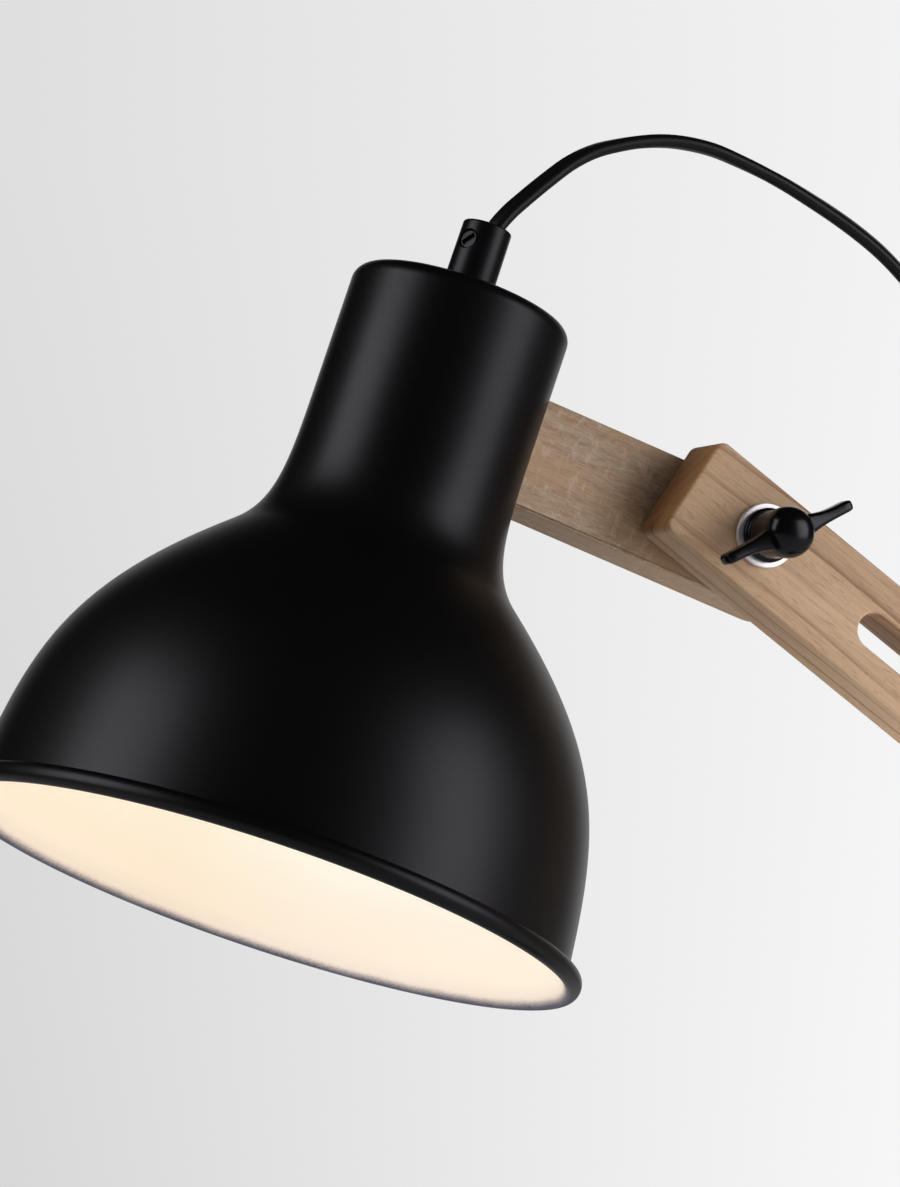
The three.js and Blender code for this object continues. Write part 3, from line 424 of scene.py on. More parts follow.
# %% Make the slack loop and the cord on the post
loop_route = [
    [-58.35, -13.12, 43.5, -90], [-58.15, -13.12, 38.5, -90], [-58.1, -13.05, 28, -90], [-58.2, -12.7, 16, -90],
    [-58.9, -12.1, 3, -90], [-59.9, -11.4, -11, -90], [-60.8, -10.7, -23, -90], [-61.1, -10.2, -32, -88],
    [-60.7, -9.4, -44, -80], [-58.4, -8.3, -57, -70], [-53.9, -7, -70, -58], [-47.4, -5.5, -82, -44],
    [-39.4, -4, -93, -30], [-31.4, -2.5, -103, -18], [-24, -1.1, -113.5, -8], [-19.6, -0.3, -121, -2],
    [-18.05, 0, -126, 0], [-17.95, 0, -129.8, 0],
]
loop_rows = smooth_route(wide_side(loop_route, clamp, across_arms), 2 * mm)
meeting = next(i for i, row in enumerate(loop_rows) if row[2] < clamp.z - 32.1 * mm)
hung_cord("cord_beside_arm", loop_rows[: meeting + 1], (3, 4), "cord_arm_loop")
hung_cord("cord_beside_post", loop_rows[meeting:], (3, 4), "cord_post_loop")
held_route = [[-17.95, 0, z, 0] for z in (190.4, 150, 100, 44.6)]
held_rows = smooth_route(wide_side(held_route, (0, 0, 0), across_arms), 8 * mm)
stands_for(swept_cord("cord_held_on_post", held_rows), "base", "cord_black", "cord_on_post")

# %% [markdown]
# ## The lead
# From the lower clip the cord runs over the base, through a rocker switch on the floor behind the lamp, and into
# a neat coil with the plug beside it: the rest of a lead of about 1.8 m, put away as for a shelf. In the coil the
# wide side stands up, because a flat cord winds most easily that way.

# %% Make the lead
coil_centre = Vector((-52, 175, 0))
turn_pitch, layer_heights, coil_radius = 3.9, (4.25, 9.95), 30
cord_rest = 1.95
first_leg = [
    [-17.95, 0, 44.7, 0], [-18.3, 1, 37, 0], [-20.5, 3.6, 29.5, 0], [-25, 9, 22.4, 0], [-32, 18, 17.4, 0],
    [-41, 30, 15.5, 0], [-51, 45, 15.3, 0], [-60, 60, 15.4, 0], [-66, 72, 15.6, 0], [-69.8, 82, 13.6, 0],
    [-72.8, 92, 8.4, 0], [-76, 102, 3.6, 0], [-80.6, 113, cord_rest, 0], [-88, 126, cord_rest, 0],
    [-99, 137, cord_rest, 0], [-113, 144, 2.6, 0], [-128, 146, 6.2, 0], [-137, 146, 8.4, 0], [-150, 146, 9, 0],
]
through_switch = [[-170, 146, 9, 0], [-199, 146, 9, 0], [-228, 146, 9, 0]]
second_leg = [
    [-248, 146, 9, 0], [-262, 146.6, 7.2, 0], [-275, 149.6, 3.2, 0], [-289, 156.6, cord_rest, 0],
    [-300, 168, cord_rest, 0], [-303.5, 182, cord_rest, 0], [-298.5, 196, cord_rest, 0],
    [-286, 204.6, cord_rest, 0], [-268, 207.6, cord_rest, 0], [-240, 208, cord_rest, 0],
    [-205, 208, cord_rest, 0], [-170, 208, cord_rest, 0], [-140, 208.2, 2.35, 20],
    [-115, 208.5, 3, 55], [-92, 208.8, 3.9, 82], [-70, 208.9, 4.25, 90],
]


def coil_points():
    """Three turns inwards on the floor and three outwards on top, each crossing over in its last fifth."""
    columns = [coil_radius + turn_pitch, coil_radius, coil_radius - turn_pitch]
    turns = [(r, layer_heights[0]) for r in columns] + [(r, layer_heights[1]) for r in reversed(columns)]
    turns.append((coil_radius + 2 * turn_pitch, layer_heights[1]))
    points = []
    for (radius, height), (next_radius, next_height) in zip(turns, turns[1:]):
        for k in range(24):
            part = max(0.0, (k / 24 - 0.8) / 0.2)
            ease = part * part * (3 - 2 * part)
            angle = math.pi / 2 - 2 * math.pi * k / 24
            r = radius + (next_radius - radius) * ease
            x, y = coil_centre.x + r * math.cos(angle), coil_centre.y + r * math.sin(angle)
            points.append([x, y, height + (next_height - height) * ease, 90])
    return points


last_leg = [
    [-52, 212.8, 9.9, 90], [-38, 212.6, 8.6, 80], [-25, 210.3, 5.6, 55], [-8, 204.6, 2.7, 22], [8, 198, 2.2, 4],
    [24, 192.4, 4.2, 0], [34, 190.4, 6.2, 0], [43.6, 190, 7.1, 0], [54, 190, 7.1, 0],
]


def flat_on_floor(way):
    return Vector((0, 1, 0)) if abs(way.z) > 0.9 else way.cross(Vector((0, 0, 1)))


lead_points = first_leg + through_switch + second_leg + coil_points() + last_leg
lead_rows = smooth_route(wide_side(lead_points, (0, 0, 0), flat_on_floor), 2 * mm)
lead_rows = [[*row[:2], max(row[2], 1.9 * mm), *row[3:]] for row in lead_rows]
lead = swept_cord("lead_with_coil", lead_rows, sides=16)
stands_for(lead, "base", "cord_black", "cord_to_switch", "cord_from_switch", "cord_coil", "cord_to_plug")
print("lead:", round(route_length(lead_rows), 4), "m, of which coiled:", round(12 * math.pi * coil_radius * mm, 3))

# %% [markdown]
# ## Turned pieces
# The shade, the cable grip, the washers, the bulb and the base are all round, as if they came off a lathe. One
# Geometry Nodes tree turns a profile for all of them: it sweeps the outline round a circle of one metre, so the
# outline is drawn one metre in from its true place. A modifier's inputs are set by their identifiers.


# %% Build the turning tree
def mesh_tree(name, entries):
    """A Geometry Nodes tree with inputs by name and one output: its graph, its inputs and a way to end it."""
    graph = Graph(bpy.data.node_groups.new(name, "GeometryNodeTree"))
    for entry, kind in {**entries, "Finish": "Material"}.items():
        graph.tree.interface.new_socket(entry, in_out="INPUT", socket_type="NodeSocket" + kind)
    graph.tree.interface.new_socket("Piece", in_out="OUTPUT", socket_type="NodeSocketGeometry")
    given = graph.add("NodeGroupInput").outputs

    def end(geometry):
        real = graph.add("GeometryNodeRealizeInstances", {"Geometry": geometry}).outputs["Geometry"]
        coated = graph.add("GeometryNodeSetMaterial", {"Geometry": real, "Material": given["Finish"]})
        graph.add("NodeGroupOutput", {"Piece": coated.outputs["Geometry"]})
        return graph.tree

    return graph, given, end


def turning_tree():
    graph, given, end = mesh_tree("Turn a profile", {"Profile": "Geometry", "Segments": "Int"})
    outline = graph.add("GeometryNodeMeshToCurve", {"Mesh": given["Profile"]}).outputs["Curve"]
    circle = graph.add("GeometryNodeCurvePrimitiveCircle", {"Resolution": given["Segments"], "Radius": 1.0})
    sweep = graph.add("GeometryNodeCurveToMesh", {"Curve": circle.outputs["Curve"], "Profile Curve": outline})
    return end(sweep.outputs["Mesh"])


def plain_mesh(draft):
    """The draft's mesh with its modifiers applied. The draft itself is deleted."""
    mesh = bpy.data.meshes.new_from_object(draft.evaluated_get(bpy.context.evaluated_depsgraph_get()))
    mesh.name = draft.name
    bpy.data.objects.remove(draft)
    return mesh


def grown(name, tree, mesh, **values):
    """The mesh that a tree makes of a start mesh, with the tree's inputs set by their names."""
    draft = placed(name, mesh)
    modifier = draft.modifiers.new("maker", "NODES")
    modifier.node_group = tree
    for item in tree.interface.items_tree:
        if item.in_out == "INPUT" and item.name.replace(" ", "_") in values:
            modifier[item.identifier] = values[item.name.replace(" ", "_")]
    return plain_mesh(draft)


def eased(outline, steps=5):
    """Rounds the corners of a closed or open outline. A point may carry a third value, its rounding."""
    closed = outline[0][0] > 0 or outline[-1][0] > 0
    result = []
    for i, point in enumerate(outline):
        if len(point) < 3 or (i in (0, len(outline) - 1) and not closed):
            result.append((point[0], point[1]))
            continue
        here = Vector(point[:2])
        before = Vector(outline[i - 1][:2]) - here
        after = Vector(outline[(i + 1) % len(outline)][:2]) - here
        cut = min(point[2], 0.45 * before.length, 0.45 * after.length)
        start, end = here + before.normalized() * cut, here + after.normalized() * cut
        for t in (k / steps for k in range(steps + 1)):
            result.append(tuple(start * (1 - t) ** 2 + here * (2 * t * (1 - t)) + end * t ** 2))
    return result


turning = turning_tree()


def turned(name, outline, place, finish, segments=96, sharp=40, stands=()):
    """A closed turned piece about Z from an outline of radius and height, then set in place."""
    points = eased(outline)
    closed = outline[0][0] > 0 or outline[-1][0] > 0
    mesh = bpy.data.meshes.new(name)
    edges = [(i, i + 1) for i in range(len(points) - 1)] + ([(len(points) - 1, 0)] if closed else [])
    mesh.from_pydata([(r * mm - 1, -h * mm, 0) for r, h in points], edges, [])
    made = faced_outwards(grown(name, turning, mesh, Segments=segments, Finish=finish), 1e-6)
    made.transform(place)
    piece = new_piece(name, made, finish, sharp)
    return stands_for(piece, *stands) if stands else piece


print("turning tree inputs:", [item.name for item in turning.interface.items_tree])

# %% [markdown]
# ## The shade
# The shade is one spun bell: a straight neck with a rounded top, a hollow curve out to the flank, and a bead
# rolled outwards at the mouth. Two Bezier curves give the flank. Inside it is white, and near the mouth the black
# spray has crept in as a soft, grainy edge. The lamp is on, and the bulb's light on the white wall is painted
# light: the paint is given a faint glow of its own.

# %% Draw the shade's profile
neck_radius, neck_height, neck_fillet = 31.19, 35.87, 4.5
shade_height, mouth_radius, shade_wall = 173.4, 85.42, 1.2
bead_reach, bead_rise = 2.25, 2.9
tube_hole = 5.3
flank_heights = [0, 0.1811, 0.2636, 0.3284, 0.5649, 0.7078, 1]
flank_radii = [0, 0, 0.0044, 0.1912, 0.8722, 0.9347, 1]


def flank(steps=28):
    """Outer points of the flank and the way the curve runs there."""
    places = [
        Vector((neck_radius + (mouth_radius - neck_radius) * r, -neck_height - (shade_height - neck_height) * h))
        for r, h in zip(flank_radii, flank_heights)
    ]
    points = []
    for half, (a, b, c, d) in enumerate((places[:4], places[3:])):
        for i in range(half, steps + 1):
            t, u = i / steps, 1 - i / steps
            place = a * u ** 3 + b * (3 * u * u * t) + c * (3 * u * t * t) + d * t ** 3
            way = (b - a) * u * u + (c - b) * (2 * u * t) + (d - c) * t * t
            points.append((place, way.normalized()))
    return points


def arc(x, y, radius, start, end, steps):
    angles = [start + (end - start) * k / steps for k in range(steps + 1)]
    return [(x + radius * math.cos(a * degree), y + radius * math.sin(a * degree)) for a in angles]


fillet_centre = neck_radius - neck_fillet
bead_middle = mouth_radius + bead_reach
shade_outline = [
    (tube_hole, 0),
    *arc(fillet_centre, -neck_fillet, neck_fillet, 90, 0, 10),
    *[(p.x, p.y) for p, way in flank()],
    *[(bead_middle + bead_reach * x, -shade_height + bead_rise * y) for x, y in arc(0, 0, 1, 150, -130, 22)],
    *[(p.x + way.y * shade_wall, p.y - way.x * shade_wall) for p, way in reversed(flank())],
    *arc(fillet_centre, -neck_fillet, neck_fillet - shade_wall, 0, 90, 8),
    (tube_hole, -shade_wall),
]
print("shade profile:", len(shade_outline), "points, mouth", round(2 * (bead_middle + bead_reach), 1), "mm wide")

# %% [markdown]
# The white paint needs to know how far up the wall it is. A Mapping node turns Object coordinates upright along
# the shade's own axis, and the height there drives the fade from white to black. Noise breaks up the edge. The
# glow is painted light that stands in for the bulb's light on the wall: warm near the mouth and cool deep inside,
# and warmer again on the side that faces away from the arms.

# %% Make the white paint with its sprayed edge and its painted glow
white, sprayed_black = (0.84, 0.82, 0.78), (0.09, 0.09, 0.14)
inside = Finish("white paint inside the shade", white, 0.55)
upright_shift = -(spun(-head_lean, "Y") @ shade_place.translation)
wall = inside.mapped(inside.own(), Rotation=(0, -head_lean * degree, 0), Location=upright_shift)
wall_parts = inside.parts(wall)
fine_spray = inside.span(inside.noise(wall, 2400, 2.0, 0.7), -0.40 * mm, 0.40 * mm, 0.25, 0.75)
broad_spray = inside.span(inside.noise(wall, 70), -0.15 * mm, 0.15 * mm, 0.3, 0.7)
wavering = inside.calc("ADD", wall_parts["Z"], inside.calc("ADD", fine_spray, broad_spray))
spray = inside.span(wavering, 1.0, 0.0, -176.3 * mm, -173.8 * mm, smooth=True)
inside.set("Base Color", inside.mix(spray, white, sprayed_black))
# Painted light: an emission tint for the bulb's light on the wall, warm at the mouth and cool deep inside.
depth = inside.span(wall_parts["Z"], 0.0, 1.0, -176 * mm, -120 * mm, smooth=True)
painted_bulb_light = inside.mix(depth, (0.93, 0.64, 0.45), (0.72, 0.93, 1.0))
# More painted light: the tint turns warmer on the side of the wall that faces away from the arms.
side = inside.span(wall_parts["X"], 0.0, 1.0, -5 * mm, 55 * mm, smooth=True)
inside.set("Emission Color", inside.mix(side, inside.mix(1.0, painted_bulb_light, (0.91, 0.74, 0.46), "MULTIPLY"), painted_bulb_light))
# Strength of the painted glow, none where the black spray covers the wall.
inside.set("Emission Strength", inside.calc("MULTIPLY", inside.calc("SUBTRACT", 1.0, spray), 0.345))
print("inner paint:", inside.material.name)

# %% Turn the shade
shade = turned(
    "bell_shade", shade_outline, shade_place, satin_paint, 192, 60, ("head", "black_paint", "shade"),
)
shade.data.materials.append(inside.material)
to_shade = shade_place.inverted()
for polygon in shade.data.polygons:
    middle = to_shade @ polygon.center / mm
    normal = to_shade.to_3x3() @ polygon.normal
    radius = math.hypot(middle.x, middle.y)
    outwards = middle.x * normal.x + middle.y * normal.y
    inward = outwards < -0.05 * radius or (middle.z > -6 and normal.z < -0.1)
    under_bead = middle.z < -shade_height - 0.6 * bead_rise and radius < bead_middle
    if inward and radius < mouth_radius or under_bead:
        polygon.material_index = 1
print("shade faces:", len(shade.data.polygons))

# %% [markdown]
# ## Cable grip
# A small turned sleeve stands on the neck and holds the cord. A slotted screw sits in a round recess in its side.
# The recess and the slot are cut with Boolean modifiers, and the cut pieces are turned into plain meshes.


# %% Helpers for cutting
def cut_away(piece, tool, sharp=40):
    """Subtracts the tool from the piece and deletes the tool."""
    modifier = piece.modifiers.new("cut", "BOOLEAN")
    modifier.operation, modifier.solver, modifier.object = "DIFFERENCE", "EXACT", tool
    cut_mesh = bpy.data.meshes.new_from_object(piece.evaluated_get(bpy.context.evaluated_depsgraph_get()))
    piece.modifiers.clear()
    piece.data = cut_mesh
    bpy.data.objects.remove(tool)
    for polygon in cut_mesh.polygons:
        polygon.use_smooth = True
    cut_mesh.set_sharp_from_angle(angle=sharp * degree)
    return piece


def bar(name, size, place):
    """A plain block, centred on its place."""
    mesh = bpy.data.meshes.new(name)
    block = bmesh.new()
    bmesh.ops.create_cube(block, size=1)
    bmesh.ops.scale(block, vec=[s * mm for s in size], verts=block.verts)
    block.to_mesh(mesh)
    block.free()
    mesh.transform(place)
    return new_piece(name, mesh, None, 30)


# %% Turn the grip and its screw
grip_height, grip_radius, grip_bore, grip_floor = 21.2, 7.1, 3.6, 11
grip_outline = [
    (tube_hole, 0.3), (grip_radius, 0.3, 0.3), (6.95, grip_height, 0.8),
    (grip_bore, grip_height, 0.7), (grip_bore, grip_floor), (tube_hole, grip_floor),
]
side_screw_place = shade_place @ moved(0, 0, grip_height - 6) @ spun(-151, "Z") @ spun(90, "Y")
recess = turned("recess", [(0, 4.9), (2.95, 4.9), (2.95, 9), (0, 9)], side_screw_place, None, 48)
grip = cut_away(turned("cable_grip_sleeve", grip_outline, shade_place, grip_black, 128), recess)
stands_for(grip, "head", "black_plastic", "cable_grip")
side_screw = turned(
    "cable_grip_side_screw",
    [(0, 0.9), (1.6, 0.9), (1.6, 4.95), (2.65, 4.95), (2.65, 6.35, 0.3), (0, 6.45)],
    side_screw_place, grip_black, 64,
)
cut_away(side_screw, bar("screw_slot", (1.8, 4.2, 2.4), side_screw_place @ moved(0, 0, 6.5) @ spun(41, "Z")))
stands_for(side_screw, "head", "black_plastic", "cable_grip_screw")
print("cable grip faces:", len(grip.data.polygons), "side screw faces:", len(side_screw.data.polygons))

# %% [markdown]
# ## Wood
# The arms and the post are planed pine, only lightly oiled. A board shows slices through the tree's rings: thin
# lines that run along it and wander a little. Rings are circles about the tree's pith, so the distance to a
# line beside the board, bent by stretched noise, gives lines on the faces and arcs on the ends from one rule.
# Fibres are the same noise stretched much further, and a few short dark dashes are the resin ducts. The head arm
# is rougher and more worn: it gets grit, rusty streaks, golden patches and pale scuffs on top.


# %% Build the wood
def pale_wood(wood, stretched, ring_rules, light, dark, line, worn):
    """The colour, the fibre and the coarse grain of a board's long sides."""
    pith, spacing, broken, boldness, along = ring_rules
    sway, ripple = stretched((5, 16, 16), rough=0.45), stretched((45, 160, 160), rough=0.5)
    across = wood.parts(along)
    offsets = [wood.calc("SUBTRACT", across[axis], middle * mm) for axis, middle in zip("YZ", pith)]
    squares = [wood.calc("MULTIPLY", offset, offset) for offset in offsets]
    radius = wood.calc("SQRT", wood.calc("ADD", *squares))
    radius = wood.calc("ADD", radius, wood.span(sway, -6 * mm, 6 * mm))
    radius = wood.calc("ADD", radius, wood.span(ripple, -0.25 * mm, 0.25 * mm))
    year = wood.calc("FRACT", wood.calc("DIVIDE", radius, spacing * mm))
    rise = wood.span(year, 0.0, 1.0, 0.40, 0.95, smooth=True)
    fall = wood.span(year, 1.0, 0.0, 0.95, 0.99, smooth=True)
    ring = wood.calc("MULTIPLY", wood.calc("POWER", rise, 7.0), fall)
    ring = wood.calc("MULTIPLY", ring, wood.span(stretched((broken, 70, 70)), 0.0, boldness, 0.38, 0.62))
    late = wood.calc("MULTIPLY", wood.calc("MULTIPLY", rise, fall), 0.35)
    fibre = stretched((90 + 200 * worn, 1900, 1900), 3.0, 0.65)
    coarse = stretched((22 + 70 * worn, 520, 520), 3.0, 0.6)
    tone = wood.calc("ADD", wood.span(fibre, -0.55, 0.55, 0.3, 0.7), wood.span(coarse, -0.35, 0.35, 0.3, 0.7))
    tone = wood.calc("ADD", tone, wood.span(stretched((9, 40, 40)), 0.0, 0.6, 0.3, 0.7))
    colour = wood.mix(ring, wood.mix(wood.calc("ADD", tone, late), light, dark), line)
    wear = [
        (stretched((420, 2300, 2300), 3.0, 0.7), 0.42, 0.42, 0.62, (0.37, 0.268, 0.18)),
        (stretched((110, 850, 850), 3.0, 0.6), 0.7, 0.56, 0.68, (0.27, 0.115, 0.045)),
        (stretched((22, 75, 75)), 0.6, 0.45, 0.6, (0.295, 0.172, 0.084)),
        (stretched((420, 190, 190), 3.0, 0.7), 0.3, 0.54, 0.66, (0.44, 0.345, 0.26)),
    ] if worn else []
    pores = (stretched((260, 2600, 2600), 1.0), 0.45, 0.62, 0.72, tuple(c * 0.7 for c in line))
    for pattern, most, starts, ends, tint in [*wear, pores]:
        colour = wood.mix(wood.span(pattern, 0.0, most, starts, ends), colour, tint)
    return colour, fibre, coarse


def wood_finish(name, pith, spacing, light, dark, line, broken, boldness, shift=(0, 0, 0), turn=(0, 0, 0), worn=0):
    """Planed pine with its grain along the board's own X. pith is (Y, Z) of the rings' middle."""
    wood = Finish(name, light, 0.62)
    along = wood.mapped(wood.own(), Rotation=turn, Location=shift)

    def stretched(scale, detail=2.0, rough=0.5):
        return wood.noise(wood.mapped(along, Scale=scale), 1.0, detail, rough)

    ring_rules = pith, spacing, broken, boldness, along
    colour, fibre, coarse = pale_wood(wood, stretched, ring_rules, light, dark, line, worn)
    # End faces get a deeper, more orange brown: partly the end grain's own darker colour, partly painted shade and
    # painted warm bounce light on the dim ends.
    facing = wood.mapped(wood.own("Normal"), Rotation=turn)
    facing.node.vector_type = "NORMAL"
    lengthwise = wood.calc("ABSOLUTE", wood.parts(facing)["X"])
    end_grain_and_shade = wood.span(lengthwise, 0.0, 0.85, 0.35, 0.85, smooth=True)
    wood.set("Base Color", wood.mix(end_grain_and_shade, colour, wood.mix(1.0, colour, (1.15, 0.88, 0.56), "MULTIPLY")))
    wood.set("Roughness", wood.span(fibre, 0.52, 0.72, 0.3, 0.7))
    height = wood.calc("ADD", fibre, wood.calc("MULTIPLY", coarse, 0.6 + worn))
    wood.emboss(height, 0.30 + 0.4 * worn, 0.10)
    return wood.material


def board_shift(place):
    """Where a Mapping node must move the turned coordinates, so that the board's own frame is its origin."""
    return -(place.to_3x3().inverted() @ place.translation)


pine_front = wood_finish(
    "pine of the slotted arm", (44, 62), 5.2, (0.372, 0.233, 0.131), (0.290, 0.173, 0.094),
    (0.195, 0.088, 0.040), 6, 1.0, board_shift(arm_place), (0, -arm_lean * degree, 0),
)
pine_head = wood_finish(
    "pine of the head arm", (-34, -50), 4.6, (0.29, 0.188, 0.113), (0.195, 0.115, 0.062), (0.200, 0.080, 0.034),
    40, 0.45, board_shift(head_place) + Vector((0.31, 0, 0)), (0, -head_lean * degree, 0), worn=1,
)
pine_post = wood_finish(
    "pine of the post", (38, -54), 5.5, (0.362, 0.230, 0.136), (0.285, 0.172, 0.098),
    (0.195, 0.088, 0.040), 6, 1.0, (0.7, 0, 0), (0, 90 * degree, 0),
)
print("woods:", pine_front.name, pine_head.name, pine_post.name)

# %% [markdown]
# ## Boards
# A flat curve makes a good board: one closed outline for the edge, one for each hole, a thickness, and a small
# bevel that eases every edge, the slot's too. It becomes a mesh first, and only then is it stood up in its place.


# %% Helpers for flat pieces
def rounded_box(left, bottom, right, top, radius, steps=8):
    """An outline with rounded corners, as a list of points. radius may be one value or four."""
    radii = radius if isinstance(radius, (list, tuple)) else [radius] * 4
    corners = [(right, bottom, -1, 1), (right, top, -1, -1), (left, top, 1, -1), (left, bottom, 1, 1)]
    points = []
    for n, ((x, y, sx, sy), r) in enumerate(zip(corners, radii)):
        points.extend(arc(x + sx * r, y + sy * r, r, -90 + 90 * n, 90 * n, steps))
    return points


def plate(name, outlines, thickness, ease, place, finish, sharp=35, bevel_steps=3, stands=()):
    """A flat piece in local X and Y, centred on local Z = 0, with eased edges."""
    data = bpy.data.curves.new(name, "CURVE")
    data.dimensions, data.fill_mode = "2D", "BOTH"
    data.extrude, data.offset = (thickness / 2 - ease) * mm, -ease * mm
    data.bevel_depth, data.bevel_resolution = ease * mm, bevel_steps
    for outline in outlines:
        spline = data.splines.new("POLY")
        spline.points.add(len(outline) - 1)
        for target, (x, y) in zip(spline.points, outline):
            target.co = (x * mm, y * mm, 0, 1)
        spline.use_cyclic_u = True
    mesh = faced_outwards(plain_mesh(placed(name, data)), 1e-6)
    mesh.transform(place)
    piece = new_piece(name, mesh, finish, sharp)
    return stands_for(piece, *stands) if stands else piece


fit = 0.3
stand_up = spun(90, "X")
arm_gap, board_thickness = 1.07, 18
post_half = 15
slotted_back = -post_half - arm_gap
slotted_front = slotted_back - board_thickness
bolt_hole = 3.3
hole_outline = arc(0, 0, bolt_hole, 0, 360 - 360 / 48, 47)
print("slotted arm from y", round(slotted_front, 2), "to", round(slotted_back, 2), "mm")

# %% Make the two arms and the post
slot_from, slot_to, slot_half, arm_half = 37.5, 237.5, 5, 15.125
slotted_outline = rounded_box(-25.78, slot_rise - arm_half, 265, slot_rise + arm_half, 3)
slot_outline = rounded_box(slot_from, slot_rise - slot_half, slot_to, slot_rise + slot_half, slot_half, 12)
slotted_arm = plate(
    "slotted_wooden_arm", [slotted_outline, slot_outline, hole_outline], board_thickness, 1.0,
    arm_place @ moved(0, (slotted_front + slotted_back) / 2, 0) @ stand_up, pine_front,
    stands=("arm", "wood", "slotted_arm"),
)

cope_radius, head_rise, head_half = neck_radius + fit, -0.05, 15.7
butt = cope_radius - 2.6 - shade_reach
head_outline = rounded_box(butt, head_rise - head_half, 25.5, head_rise + head_half, [8, 8, 0.5, 0.5])
head_arm = plate(
    "wooden_head_arm", [head_outline, hole_outline], board_thickness, 0.8,
    head_place @ moved(0, shade_y, 0) @ stand_up, pine_head,
)
cope_outline = [(0, -80), (cope_radius, -80), (cope_radius, 0), (0, 0)]
cut_away(head_arm, turned("cope", cope_outline, shade_place, None, 192), sharp=35)
stands_for(head_arm, "head", "wood", "head_arm")

post_foot, post_top = 13.6, 350
post = plate(
    "wooden_post", [rounded_box(-post_half, -post_half, post_half, post_half, 1.5)], post_top - post_foot, 0.8,
    moved(0, 0, (post_top + post_foot) / 2), pine_post, stands=("base", "wood", "post"),
)
print("boards:", [len(o.data.polygons) for o in (slotted_arm, head_arm, post)])

# %% [markdown]
# ## Metals and the rest
# The washer under the wing nut is bright chrome with faint lines on it, screws and bolts are zinc-plated, the pins
# and contacts are brass. A smudged roughness and stretched noise as a fine bump tell one metal from another.


# %% Make the metals, fibre and lit glass
def metal_finish(name, base, roughness, line_scale, depth, metallic=1.0):
    metal = Finish(name, base, roughness, metallic)
    place = metal.own()
    smudge = metal.noise(place, 120, 3.0)
    metal.set("Roughness", metal.span(smudge, roughness * 0.7, roughness * 1.4, 0.3, 0.7))
    metal.emboss(metal.noise(metal.mapped(place, Scale=line_scale), 1.0), 0.2, depth)
    return metal.material


chrome = metal_finish("bright plated washer", (0.66, 0.61, 0.62), 0.30, (300, 300, 3000), 0.006, 0.7)
zinc = metal_finish("zinc-plated steel", (0.50, 0.51, 0.53), 0.32, (900, 900, 900), 0.03)
brass = metal_finish("plain brass", (0.62, 0.44, 0.19), 0.26, (900, 900, 900), 0.02)
nickel = metal_finish("nickel bulb cap", (0.60, 0.58, 0.54), 0.28, (700, 700, 700), 0.02)
fibre = black_finish("pressed fibre washer", (0.060, 0.038, 0.024), 0.85, 0.5, 0.08)

frosted = Finish("lit frosted glass", (0.95, 0.90, 0.80), 0.5)
frosting = frosted.noise(frosted.own(), 400)
warmth = frosted.span(frosting, 0.0, 1.0, 0.3, 0.7)
frosted.set("Emission Color", frosted.mix(warmth, (1.0, 0.86, 0.62), (1.0, 0.89, 0.68)))
frosted.set("Emission Strength", 0.8)
frosted.emboss(frosting, 0.1, 0.05)
print("metals:", chrome.name, zinc.name, brass.name, nickel.name)

# %% [markdown]
# ## Bolts, washers and wing nuts
# Each clamp is a coach bolt from behind, a fibre washer between the boards, a bright washer in front and a black
# wing nut. The nut's body is turned: a small foot, a waist and a domed cap. Each wing is a skin over rings whose
# width and thickness change from root to tip, thick where it grows out of the body and rounded at its end.

# %% Make the wing nuts
washer_radius, washer_thickness = 9, 1.5
nut_seat = slotted_front - washer_thickness - 2 * fit
cap_radius, cap_start, nut_height = 7.15, 11.2, 18.9
wing_height, wing_turn = 11.8, -21.7


def dome(radius, start, end, bulge=2.4, steps=14):
    """Radius and height from a cylinder's edge to the middle of a rounded cap."""
    points = []
    for a in (math.pi / 2 * k / steps for k in range(steps)):
        points.append((radius * math.cos(a) ** (2 / bulge), start + (end - start) * math.sin(a) ** (2 / bulge)))
    return [*points, (0, end)]


nut_outline = [
    (0, 12.9), (bolt_hole, 12.9), (bolt_hole, 0), (7.6, 0, 0.3), (7.6, 1.4, 0.4), (6.7, 2.1, 0.5),
    (6.7, 10.6, 0.3), (cap_radius, cap_start, 0.35), *dome(cap_radius, cap_start + 1.2, nut_height),
]


def wing_rings(side):
    """Rings of a wing that grows along X: place, thickness across the wing, depth along the bolt and lift."""
    stations = [
        (4.2, 7.4, 6.6, 0), (6.4, 6.2, 6.4, 0), (8.2, 5.1, 6.2, 0), (10.0, 4.3, 6.0, 0), (12.6, 3.6, 5.8, 0.05),
        (15.4, 3.3, 5.7, 0.2), (18.0, 3.25, 5.7, 0.4), (19.6, 3.2, 5.6, 0.5), (20.4, 2.8, 5.2, 0.55),
        (20.7, 2.0, 4.4, 0.55),
    ]
    rings = []
    for x, thick, deep, lift in stations:
        ring = []
        for a in (2 * math.pi * (k + 0.5) / 24 for k in range(24)):
            across = math.copysign(abs(math.cos(a)) ** 0.45, math.cos(a)) * thick / 2 + lift
            along = math.copysign(abs(math.sin(a)) ** 0.45, math.sin(a)) * deep / 2 + wing_height
            ring.append(Vector((side * x, side * across, along)) * mm)
        rings.append(ring)
    return rings


def joined(name, *pieces):
    """One object from several, which keeps their materials."""
    body = bmesh.new()
    materials = []
    for piece in pieces:
        start = len(body.faces)
        body.from_mesh(piece.data)
        body.faces.ensure_lookup_table()
        for face in body.faces[start:]:
            material = piece.data.materials[face.material_index]
            if material not in materials:
                materials.append(material)
            face.material_index = materials.index(material)
        bpy.data.objects.remove(piece)
    mesh = bpy.data.meshes.new(name)
    body.to_mesh(mesh)
    body.free()
    for material in materials:
        mesh.materials.append(material)
    return placed(name, mesh)


